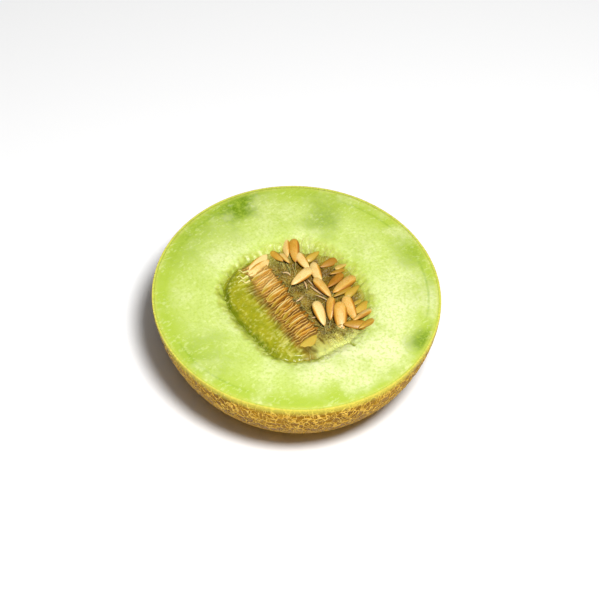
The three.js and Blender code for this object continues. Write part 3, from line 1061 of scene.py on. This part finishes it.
def seed_material(colours):
    material, n, shader = new_material(
        "seed_coat", Roughness=0.48, Subsurface_Weight=0.1, Subsurface_Scale=0.001,
        Coat_Weight=0.15, Coat_Roughness=0.25,
    )
    form = n.attribute("seed_form", "Vector")
    along, across, _ = n.parts(form)
    place = object_place(n)
    streaks = n.noise(n.vector("MULTIPLY", form, (1.2, 6.0, 6.0)), 1.6, 3.0)
    lines = n.noise(n.vector("MULTIPLY", form, (3.0, 13.0, 13.0)), 2.0, 2.0)
    cloud = n.noise(place, 180.0, 2.0)
    margin = n.step(n.math("ABSOLUTE", across), 0.55, 1.0)
    on_edge = n.attribute("on_edge")
    tone = n.attribute("tone")
    tone = n.plus(tone, n.times(n.minus(cloud, 0.5), 1.0))
    tone = n.plus(tone, n.times(n.minus(streaks, 0.5), 1.4))
    tone = n.plus(tone, n.step(lines, 0.5, 0.72, 0.0, 0.55))
    # A flat seed is deepest in colour round its margin, partly its own brown rim and partly painted
    # shade where it turns away; a seed on edge is painted palest there, a highlight on the rib's top,
    # and deeper over its faces, painted shade between the packed seeds.
    swing = n.plus(n.times(on_edge, -3.0), 1.5)
    tone = n.plus(tone, n.times(margin, swing))
    tone = n.plus(tone, n.times(on_edge, 1.15))
    tip = n.step(along, 0.7, 1.0)
    tone = n.plus(tone, n.times(tip, 0.8))
    tint = ramp(
        n,
        n.math("DIVIDE", tone, TONES, clamp=True),
        [
            (0.0, colours.seed_pale),
            (0.5, colours.seed_gold),
            (1.0, colours.seed_deep),
        ],
    )
    sunk = n.times(n.step(along, 0.0, -0.85), on_edge)
    veil = n.times(n.math("MAXIMUM", n.attribute("veil"), sunk), 0.7)
    tint = n.mix(veil, tint, SEED_VEIL)
    n.link(tint, shader.inputs["Base Color"])
    bump(n, shader, streaks, 0.00015, 0.5)
    return material


def thread_material():
    material, n, shader = new_material(
        "pale_thread", Roughness=0.4, Subsurface_Weight=0.2, Subsurface_Scale=0.001,
        Specular_IOR_Level=0.3,
    )
    tint = ramp(
        n,
        n.math("DIVIDE", n.attribute("tone"), TONES),
        [(0.0, DARK_THREAD), (0.5, PALE_THREAD), (0.85, SCRAP)],
    )
    n.link(tint, shader.inputs["Base Color"])
    return material


# ---- pieces ----


def settings():
    scene = bpy.context.scene
    return scene.melon_sizes, scene.melon_colours, scene.melon_stage


def rind_tree():
    """Raises the net out of the plain rind."""
    tree, n, given, out = new_tree(
        "Raised Net",
        "GeometryNodeTree",
        [
            ("Geometry", GEOMETRY),
            ("Net Cell", FLOAT),
            ("Fine Cell", FLOAT),
            ("Cord Width", FLOAT),
            ("Bare Stem End", FLOAT),
            ("Cord Height", FLOAT),
            ("Material", MATERIAL),
        ],
        [("Geometry", GEOMETRY)],
    )
    place = n.add("GeometryNodeInputPosition").outputs[0]
    names = ("Net Cell", "Fine Cell", "Cord Width", "Bare Stem End")
    net = placed_group(
        n, net_group("GeometryNodeTree"), {"Position": place, **{k: given[k] for k in names}}
    )
    skin = n.named("skin")
    lie = n.named("lie")
    rough = n.times(n.minus(n.noise(place, 260.0, 3.0), 0.5), 0.25)
    height = n.times(n.plus(net["Net"], rough), given["Cord Height"])
    height = n.times(height, skin)
    outward = n.vector("DIVIDE", n.vector("SUBTRACT", place, tuple(CENTRE * MM)), tuple(SEMI * MM))
    outward = n.vector("MULTIPLY", outward, n.joined(1.0, 1.0, lie))
    moved = n.add(
        "GeometryNodeSetPosition",
        {"Geometry": given["Geometry"], "Offset": n.scaled(n.vector("NORMALIZE", outward), height)},
    ).outputs[0]
    end_tree(n, moved, given["Material"], out)
    return tree


NECK = 3.0  # the rind's inner bowl ends this far below the cut, and rings go on up from it


class MELON_OT_rind(bpy.types.Operator):
    """Make the netted rind, cut level with the flesh"""

    bl_idname = "melon.rind"
    bl_label = "Netted Rind"

    def execute(self, context):
        sizes, colours, _ = settings()
        steps = sizes.rind_steps

        def bowl(count, semi, top):
            """A bowl up to a level: its points, its rim and its squares."""
            radius, angle, rim, squares = disc_grid(count)
            level = (top - CENTRE[2]) / semi[2]
            down = 1 - radius**2 * (1 + level)
            flat = np.sqrt(1 - down**2) * np.sign(radius)
            unit = np.stack((flat * np.cos(angle), flat * np.sin(angle), -down), -1)
            return unit * semi + CENTRE, rim, squares

        rind = sizes.rind / MM
        outer, outer_rim, outer_squares = bowl(steps, SEMI, CUT_Z)
        inner_semi = SEMI - rind
        inner, inner_rim, inner_squares = bowl(steps // 4, inner_semi, CUT_Z - NECK)
        turn = np.arctan2(outer[outer_rim, 1] / SEMI[1], outer[outer_rim, 0] / SEMI[0])

        def inner_ring(z):
            width = np.sqrt(1 - ((z - CENTRE[2]) / inner_semi[2]) ** 2)
            ring = np.stack((np.cos(turn) * width, np.sin(turn) * width, 0 * turn), -1) * inner_semi
            return ring + (0, 0, z)

        edge = inner_ring(CUT_Z)
        border = outer[outer_rim]
        rings = [border + (edge - border) * share for share in (0.12, 0.88, 1.0)]
        rings.append(inner_ring(CUT_Z - NECK / 2))
        points = np.concatenate((outer, *rings, inner))
        first_inner = len(points) - len(inner)
        ring_points = len(outer) + np.arange(4 * len(edge)).reshape(4, -1)
        points[:, 2] = np.maximum(points[:, 2], 0)
        points[first_inner:, 2] = np.maximum(points[first_inner:, 2], rind)
        squares = np.concatenate(
            (
                outer_squares[:, ::-1],
                bands((outer_rim, *ring_points)),
                inner_squares + first_inner,
            )
        )
        triangles = stitch(ring_points[-1], inner_rim + first_inner)
        skin = np.zeros(len(points))
        height = outer[:, 2]
        lower = 1 - 0.75 * smooth(height, CUT_Z - 2.5, CUT_Z)
        skin[: len(outer)] = smooth(height, 0.4, 2.4) * lower
        lie = 1 - smooth(points[:, 2], CUT_Z - 3, CUT_Z - 0.3)
        piece = add_object("rind", points, squares, triangles, skin=skin, lie=lie)
        values = {
            **net_values(sizes),
            "Cord Height": sizes.cord_height,
            "Material": rind_material(sizes, colours),
        }
        baked(piece, rind_tree(), values)
        keep(piece, "rind")
        return {"FINISHED"}


FLESH_COLUMNS = 744
FLESH_FLOOR, FLESH_PIT = 1.6, 13.5  # the flesh's lowest level, and the depth of its hollow


class MELON_OT_flesh(bpy.types.Operator):
    """Make the flesh with its cut face and the wall of the seed hollow"""

    bl_idname = "melon.flesh"
    bl_label = "Cut Flesh"

    def execute(self, context):
        sizes, colours, _ = settings()
        angle = np.arange(FLESH_COLUMNS) * 2 * np.pi / FLESH_COLUMNS
        semi = SEMI - sizes.rind / MM + 0.05
        level = (CUT_Z - CENTRE[2]) / semi[2]
        rim = np.stack((np.cos(angle), np.sin(angle)), -1) * semi[:2] * math.sqrt(1 - level**2)
        edge = outline(angle, np.ones(FLESH_COLUMNS))
        shares = np.linspace(0.7, 1, 22)
        outs = np.linspace(0, 1, 76)[1:] ** 1.12
        face = [outline(angle, np.full(FLESH_COLUMNS, s)) for s in shares]
        face += [edge + (rim - edge) * t for t in outs]
        face = np.concatenate(face[::-1])
        depth, edge_tone, fibres = flesh_form(face)
        outness = np.hypot(*(face / (SEMI[:2] * math.sqrt(1 - level**2))).T)
        near_rim = (1 - outness) * MEAN_RADIUS
        depth = depth * smooth(near_rim, sizes.rind / MM - 0.1, 4) + 0.01
        top = laid(face, depth)
        bowl_semi = SEMI - sizes.rind / MM - 0.2
        slopes = np.radians(np.linspace(4, 83, 12))
        bowl = []
        for s in slopes:
            down = np.full(FLESH_COLUMNS, -np.cos(s))
            ring = np.stack((np.sin(s) * np.cos(angle), np.sin(s) * np.sin(angle), down), -1)
            bowl.append(ring * bowl_semi + CENTRE)
        bowl = np.concatenate(bowl)
        bowl[:, 2] = np.maximum(bowl[:, 2], FLESH_FLOOR)
        ends = np.array(((*HOLLOW_CENTRE, CUT_Z - FLESH_PIT), (0, 0, FLESH_FLOOR)))
        points = np.concatenate((bowl, top, ends))
        rings = np.arange(len(bowl) + len(top)).reshape(-1, FLESH_COLUMNS)
        triangles = np.concatenate(
            (fan(rings[0], len(points) - 1, False), fan(rings[-1], len(points) - 2, True))
        )
        pad = np.full(len(bowl), 3.0)
        zeros = np.zeros(2)
        piece = add_object(
            "flesh", points, bands(rings), triangles,
            from_rim=np.concatenate((pad, near_rim, zeros)),
            edge=np.concatenate((pad * 0, edge_tone, zeros)),
            fibres=np.concatenate((pad * 0, fibres, zeros)),
        )
        piece.data.materials.append(flesh_material(colours))
        keep(piece, "flesh", "melon_half")
        return {"FINISHED"}


PULP_STEPS = 296  # squares along one side of the pulp's mesh
SKIRT_DEPTH, PULP_FLOOR = 12.5, 12.8  # how deep the pulp's side and its underside reach


class MELON_OT_pulp(bpy.types.Operator):
    """Make the soft pulp that fills the hollow under and round the seeds"""

    bl_idname = "melon.pulp"
    bl_label = "Pulp"

    def execute(self, context):
        _, colours, _ = settings()
        radius, angle, rim, squares = disc_grid(PULP_STEPS)
        places = outline(np.where(radius < 0, angle + np.pi, angle), np.abs(radius) * 0.998)
        zones = pulp_form(places)
        top = laid(places, zones.pop("depth"))
        skirt = top[rim] * (1, 1, 0) + (0, 0, CUT_Z - SKIRT_DEPTH)
        points = np.concatenate((top, skirt, ((*HOLLOW_CENTRE, CUT_Z - PULP_FLOOR),)))
        ring = len(top) + np.arange(len(rim))
        squares = np.concatenate((squares, bands((ring, rim))))
        below = np.zeros(len(rim) + 1)
        zones = {name: np.concatenate((values, below)) for name, values in zones.items()}
        piece = add_object("pulp", points, squares, fan(ring, len(points) - 1, False), **zones)
        piece.data.materials.append(pulp_material(colours))
        keep(piece, "pulp")
        return {"FINISHED"}


def seed_tree():
    """Lays the form of one seed at every point, turned and sized by the point's attributes."""
    tree, n, given, out = new_tree(
        "Seeds",
        "GeometryNodeTree",
        [
            ("Geometry", GEOMETRY),
            ("Length", FLOAT),
            ("Width", FLOAT),
            ("Thickness", FLOAT),
            ("Material", MATERIAL),
        ],
        [("Geometry", GEOMETRY)],
    )
    sphere = n.add("GeometryNodeMeshUVSphere", {"Segments": 26, "Rings": 18, "Radius": 1.0})
    place = n.add("GeometryNodeInputPosition").outputs[0]
    x, y, z = n.parts(place)
    rounding = n.times(z, n.math("ABSOLUTE", z), SEED_ROUNDING)
    taper = n.minus(n.minus(1.0, n.times(z, SEED_NARROWING)), rounding)
    taper = n.times(taper, SEED_FULLNESS / 2)
    side = n.times(x, taper, given["Width"])
    plump = n.times(n.math("SIGN", y), n.math("POWER", n.math("ABSOLUTE", y), 0.85))
    up = n.times(plump, taper, given["Thickness"])
    ahead = n.times(z, 0.5, given["Length"])
    stored = n.add(
        "GeometryNodeStoreNamedAttribute",
        {
            "Geometry": sphere.outputs["Mesh"],
            "Name": "seed_form",
            "Value": n.joined(z, x, y),
        },
        data_type="FLOAT_VECTOR",
    ).outputs[0]
    seed = n.add(
        "GeometryNodeSetPosition",
        {"Geometry": stored, "Position": n.joined(ahead, side, up)},
    ).outputs[0]
    seed = n.add("GeometryNodeSetShadeSmooth", {0: seed}).outputs[0]
    turn = n.named("turn", "FLOAT_VECTOR")
    size = n.named("size", "FLOAT_VECTOR")
    seeds = n.add(
        "GeometryNodeInstanceOnPoints",
        {
            "Points": given["Geometry"],
            "Instance": seed,
            "Rotation": n.add("FunctionNodeEulerToRotation", {0: turn}).outputs[0],
            "Scale": size,
        },
    ).outputs[0]
    end_tree(n, seeds, given["Material"], out)
    return tree


def seeds_in(ranks, first_draw, looseness=1.0):
    """Every seed of some ranks as (place, turn, tone, veil, on edge, size)."""
    found = []
    for number, rank in enumerate(ranks):
        for i in range(rank.seeds):
            share = i / (rank.seeds - 1) if rank.seeds > 1 else 0
            key = first_draw + DRAWS_PER_RANK * number + DRAWS_PER_SEED * i

            def between(stops, k=None):
                """A value of the rank at this seed."""
                values = np.atleast_1d(stops) if k is None else [stop[k] for stop in stops]
                return float(np.interp(share, np.linspace(0, 1, len(values)), values))

            loose = rank.stray * looseness
            x, y, depth = (
                between(rank.middles, k) + loose * STRAY_PLACE * draw(key + k) for k in range(3)
            )
            heading = between(rank.turns, 0) + loose * STRAY_HEADING * draw(key + 3)
            pitch = between(rank.turns, 1) + loose * STRAY_PITCH * draw(key + 4)
            roll = between(rank.turns, 2) + loose * FINE_ROLL * draw(key + ROLL_DRAW)
            tone = between(rank.tones) + SHADE_STRAY * rank.stray * draw(key + SHADE_DRAW)
            turned = (math.radians(roll), -math.radians(pitch), math.radians(heading))
            on_edge = float(smooth(abs(roll), ON_EDGE_FROM, ON_EDGE_TO))
            veil, size = between(rank.veils), between(rank.sizes)
            found.append(((x, y, CUT_Z - depth), turned, tone, veil, on_edge, size))
    return found


def seed_piece(name, node, ranks, first_draw, slot, looseness, build):
    _, colours, _ = settings()
    seeds = seeds_in(ranks, first_draw, looseness)
    places, turns, tones, veils, on_edges, scales = zip(*seeds)
    piece = add_object(name, places, (), tone=tones, veil=veils, on_edge=on_edges)
    uneven = [1 + SIZE_STRAY * draw(first_draw + 31 * i) for i in range(len(seeds) * 3)]
    sizes = np.array(uneven).reshape(-1, 3) * build * np.array(scales)[:, None]
    for key, values in (("turn", np.array(turns)), ("size", sizes)):
        layer = piece.data.attributes.new(key, "FLOAT_VECTOR", "POINT")
        layer.data.foreach_set("vector", values.ravel())
    values = {
        "Length": SEED_LENGTH * MM,
        "Width": SEED_WIDTH * MM,
        "Thickness": SEED_THICKNESS * MM,
        "Material": bpy.data.materials.get("seed_coat") or seed_material(colours),
    }
    baked(piece, bpy.data.node_groups.get("Seeds") or seed_tree(), values)
    keep(piece, slot, node)


class MELON_OT_seed_comb(bpy.types.Operator):
    """Make the row of seeds that stands on edge in the pulp"""

    bl_idname = "melon.seed_comb"
    bl_label = "Seed Comb"

    def execute(self, context):
        fine = (COMB_LOOSENESS, COMB_BUILD)
        seed_piece("comb_seeds", "seed_comb", COMB, COMB_DRAWS, "seeds_in_pulp", *fine)
        return {"FINISHED"}


class MELON_OT_seed_heap(bpy.types.Operator):
    """Make the seeds that lie over each other beyond the trough"""

    bl_idname = "melon.seed_heap"
    bl_label = "Seed Heap"

    def execute(self, context):
        fine = (HEAP_LOOSENESS, HEAP_BUILD)
        seed_piece("heap_seeds", "seed_heap", HEAP, HEAP_DRAWS, "seeds_loose", *fine)
        return {"FINISHED"}


def thread_tree():
    """Gives every line a round section, as thick as its points say."""
    tree, n, given, out = new_tree(
        "Threads",
        "GeometryNodeTree",
        [("Geometry", GEOMETRY), ("Sides", "NodeSocketInt", 6), ("Material", MATERIAL)],
        [("Geometry", GEOMETRY)],
    )
    thick = n.named("thick")
    lines = n.add("GeometryNodeMeshToCurve", {0: given["Geometry"]}).outputs[0]
    section = n.add("GeometryNodeCurvePrimitiveCircle", {"Resolution": given["Sides"], "Radius": 1.0})
    tubes = n.add(
        "GeometryNodeCurveToMesh",
        {"Curve": lines, "Profile Curve": section.outputs["Curve"], "Scale": thick, "Fill Caps": True},
    ).outputs[0]
    tubes = n.add("GeometryNodeSetShadeSmooth", {0: tubes}).outputs[0]
    end_tree(n, tubes, given["Material"], out)
    return tree


def surface_depth(places):
    """Depth of whichever lies higher, the pulp or the flesh."""
    places = np.asarray(places, float).reshape(-1, 2)
    pulp = np.where(hollow_share(places) < 0.995, pulp_form(places)["depth"], 99.0)
    return np.minimum(pulp, flesh_form(places)[0])


# How many curled threads and strands there are, and where their draws start.
LOOP_COUNT, STRAND_COUNT = 80, 60
LOOP_DRAWS, STRAND_DRAWS, SCRAP_DRAWS = 3000, 5000, 7000
# Scraps of membrane, as the start, the middle and the end of each in the cut face.
MEMBRANES = (
    ((-8.2, 11.8), (-2.2, 11.4), (2.7, 13.0)),
    ((-4.6, 10.6), (0.0, 10.8), (5.2, 13.5)),
    ((1.2, 9.4), (4.4, 11.2), (7.6, 12.4)),
    ((-9.4, 9.8), (-6.4, 9.8), (-4.2, 8.4)),
    ((-18.6, 5.0), (-17.6, 7.4), (-15.4, 7.0)),
    ((1.4, -1.2), (1.8, 1.2), (0.6, 3.0)),
    ((10.8, 1.0), (12.2, 2.6), (11.6, 4.4)),
)
# Where the threads at the stem end of the comb start.
HOOKS = ((-23.4, -9.6), (-20.9, -12.1), (-18.4, -13.0))


def trough_loops():
    """Small curled threads that the seeds of the trough have left behind."""
    found = []
    for i in range(LOOP_COUNT):
        chance = np.array([draw(LOOP_DRAWS + 11 * i + k) for k in range(8)])
        middle = np.array((25 * chance[0], 5 + 4 * chance[1]))
        radius = 0.8 + 0.4 * chance[2]
        turn = chance[3] * np.pi + np.linspace(0, 3.4 + 1.4 * chance[4], 12)
        wobble = 1 + 0.25 * np.sin(turn * 2 + 5 * chance[5])
        circle = np.stack((np.cos(turn) * radius * 1.25, np.sin(turn) * radius), -1)
        places = middle + circle * wobble[:, None]
        depth = surface_depth(places).min() - 0.1 + 0.5 * np.sin(turn + 4 * chance[6])
        thick, tone = 0.5 + 0.2 * chance[7], 0.3 + 0.35 * chance[5]
        found.append((laid(places, depth), thick, tone))
    return found


def membranes():
    """Scraps of pale brown membrane in the trough."""
    run = np.linspace(0, 1, 10)[:, None]
    found = []
    for i, (start, middle, end) in enumerate(np.array(MEMBRANES)):
        places = (1 - run) ** 2 * start + 2 * run * (1 - run) * middle + run**2 * end
        rise = 0.2 + 0.3 * np.sin(run[:, 0] * np.pi)
        depth = surface_depth(places).min() - rise
        thick = (0.9 + 1.3 * np.sin(run[:, 0] * np.pi)) * (1 + 0.3 * draw(SCRAP_DRAWS + i))
        found.append((laid(places, depth), thick, 1.7))
    return found


def silk():
    """Fine strands that run from under the heap up on to the flesh."""
    found = []
    for i in range(STRAND_COUNT):
        chance = [draw(STRAND_DRAWS + 7 * i + k) for k in range(6)]
        angle = math.radians(70 + 100 * math.copysign(abs(chance[0]) ** 0.6, chance[0]))
        start, end = 0.84 + 0.1 * chance[1], 1.0 + 0.08 * chance[2]
        shares = np.linspace(start, end, 9)
        sway = 0.05 * chance[3] * np.sin(np.linspace(0, 3, 9))
        angles = angle + sway + np.linspace(0, 0.04 * chance[4], 9)
        places = outline(angles, shares)
        depth = surface_depth(places) - 0.08
        found.append((laid(places, depth), 0.4 + 0.15 * chance[5], 0.55))
    return found


def hooks():
    """Wavy threads at the stem end of the comb, lying on the wedge."""
    found = []
    for i, (x, y) in enumerate(HOOKS):
        run = np.linspace(0, 1, 16)
        wave = 0.75 * np.sin(run * 8.5 + i)
        places = np.stack((x - 2.9 * run - 0.83 * wave, y - 4.3 * run + 0.56 * wave), -1)
        depth = np.maximum(surface_depth(places) - 0.45 * np.sin(run * np.pi) - 0.1, 0.4)
        found.append((laid(places, depth), 3.0 * (1 - 0.7 * run), 1.15))
    return found


def stalks():
    """A short thread from each seed's point down into the pulp."""
    found = []
    for ranks, first_draw in ((COMB, COMB_DRAWS), (HEAP, HEAP_DRAWS)):
        for i, (place, turn, *_) in enumerate(seeds_in(ranks, first_draw)):
            point = Euler(turn).to_matrix() @ Vector((1, 0, 0))
            tip = np.array(place) + np.array(point) * SEED_LENGTH * 0.48
            run = np.linspace(0, 1, 8)[:, None]
            curl = 1.1 * np.sin(run * 4 + i) * np.array((-point.y, point.x, 0))
            line = tip + np.array((point.x, point.y, 0)) * 3.2 * run + curl * run * 0.6
            if hollow_share(line[-1:, :2])[0] > 0.8:
                continue
            depth = surface_depth(line[:, :2]) - 0.1
            line[:, 2] = line[:, 2] * (1 - run[:, 0]) + (CUT_Z - depth) * run[:, 0]
            line[:, 2] = np.minimum(line[:, 2], CUT_Z - 0.3)
            found.append((line, 0.9, 0.4))
    return found


class MELON_OT_threads(bpy.types.Operator):
    """Make the threads that the seeds hang on, and the silky strands round them"""

    bl_idname = "melon.threads"
    bl_label = "Threads"

    def execute(self, context):
        sizes, _, _ = settings()
        lines = trough_loops() + membranes() + silk() + hooks() + stalks()
        points = np.concatenate([line for line, _, _ in lines])
        mesh = bpy.data.meshes.new("threads")
        edges, first = [], 0
        for line, _, _ in lines:
            edges += [(first + k, first + k + 1) for k in range(len(line) - 1)]
            first += len(line)
        mesh.from_pydata(points * MM, edges, [])
        for key, pick in (("thick", 1), ("tone", 2)):
            scale = sizes.thread if key == "thick" else 1.0
            layer = mesh.attributes.new(key, "FLOAT", "POINT")
            values = [np.full(len(line[0]), 1.0) * line[pick] * scale for line in lines]
            layer.data.foreach_set("value", np.concatenate(values))
        piece = bpy.data.objects.new("threads", mesh)
        context.collection.objects.link(piece)
        baked(piece, thread_tree(), {"Sides": 6, "Material": thread_material()})
        keep(piece, "pulp")
        return {"FINISHED"}


# ---- stage ----


def floor_material(stage):
    material, n, shader = new_material("table_top", Roughness=0.6)
    faint = n.noise(object_place(n), 3.0, 2.0)
    tint = n.mix(n.times(faint, 0.03), stage.floor, TABLE_SHADE)
    n.link(tint, shader.inputs["Base Color"])
    return material


def soft_light(name, place, target, size, power):
    light = bpy.data.lights.new(name, "AREA")
    light.shape = "DISK"
    light.size = size
    light.energy = power
    lamp = bpy.data.objects.new(name, light)
    lamp.location = place
    lamp.rotation_euler = (Vector(target) - Vector(place)).to_track_quat("-Z", "Y").to_euler()
    bpy.context.collection.objects.link(lamp)


PICTURE_PIXELS = 599
FACE_PIXEL = (-3.1, -4.9)  # the cut face's middle, right and down of the picture's middle
TABLE_SIDE = 3000  # half of the table's side, in millimetres


class MELON_OT_stage(bpy.types.Operator):
    """Make the table, the lights and the camera"""

    bl_idname = "melon.stage"
    bl_label = "Stage"

    def execute(self, context):
        _, _, stage = settings()
        scene = context.scene
        corners = ((-1, -1), (1, -1), (1, 1), (-1, 1))
        square = [(x * TABLE_SIDE, y * TABLE_SIDE, 0) for x, y in corners]
        floor = add_object("table", square, [(0, 1, 2, 3)])
        floor.data.materials.append(floor_material(stage))

        face = Vector((0, 0, CUT_Z * MM))
        ahead = Vector((-math.sin(stage.azimuth), math.cos(stage.azimuth), 0))
        right = Vector((math.cos(stage.azimuth), math.sin(stage.azimuth), 0))
        look = ahead * math.cos(stage.elevation) - Vector((0, 0, math.sin(stage.elevation)))
        up = right.cross(look)
        pixel = stage.frame_width / PICTURE_PIXELS
        target = face - right * (FACE_PIXEL[0] * pixel) + up * (FACE_PIXEL[1] * pixel)
        camera = bpy.data.cameras.new("camera")
        camera.sensor_width = 36
        camera.lens = camera.sensor_width * stage.distance / stage.frame_width
        camera.clip_start = 0.05
        viewer = bpy.data.objects.new("camera", camera)
        viewer.location = target - look * stage.distance
        viewer.rotation_euler = look.to_track_quat("-Z", "Y").to_euler()
        context.collection.objects.link(viewer)
        scene.camera = viewer

        world = bpy.data.worlds.new("studio")
        world.use_nodes = True
        world.node_tree.nodes["Background"].inputs["Color"].default_value = (1, 1, 1, 1)
        world.node_tree.nodes["Background"].inputs["Strength"].default_value = stage.fill
        scene.world = world
        above = Vector((0, 0, 1))
        soft_light("key", face - ahead * 0.54 + right * 0.14 + above * 0.98, face, 0.2, stage.key)
        soft_light("side", face - ahead * 0.46 + right * 0.02 + above, face, 0.6, stage.side)
        scene.view_settings.view_transform = "Standard"
        scene.view_settings.look = "None"
        return {"FINISHED"}


# ---- add-on ----


class MELON_PT_panel(bpy.types.Panel):
    """Sizes, colours and the steps that build the melon"""

    bl_idname = "MELON_PT_panel"
    bl_label = "Netted Melon Half"
    bl_space_type = "VIEW_3D"
    bl_region_type = "UI"
    bl_category = "Melon"

    def draw(self, context):
        for group in settings():
            box = self.layout.box()
            for name in group.__annotations__:
                box.prop(group, name)
        for step in STEPS:
            self.layout.operator(step.bl_idname)


STEPS = (
    MELON_OT_stage,
    MELON_OT_rind,
    MELON_OT_flesh,
    MELON_OT_pulp,
    MELON_OT_seed_comb,
    MELON_OT_seed_heap,
    MELON_OT_threads,
)
CLASSES = (MelonSizes, MelonColours, StageSettings, *STEPS, MELON_PT_panel)


def register():
    for item in CLASSES:
        bpy.utils.register_class(item)
    bpy.types.Scene.melon_sizes = PointerProperty(type=MelonSizes)
    bpy.types.Scene.melon_colours = PointerProperty(type=MelonColours)
    bpy.types.Scene.melon_stage = PointerProperty(type=StageSettings)


def unregister():
    del bpy.types.Scene.melon_stage, bpy.types.Scene.melon_colours, bpy.types.Scene.melon_sizes
    for item in reversed(CLASSES):
        bpy.utils.unregister_class(item)


def main():
    register()
    bpy.ops.melon.stage()
    bpy.ops.melon.rind()
    bpy.ops.melon.flesh()
    bpy.ops.melon.pulp()
    bpy.ops.melon.seed_comb()
    bpy.ops.melon.seed_heap()
    bpy.ops.melon.threads()


if __name__ == "__main__":
    main()
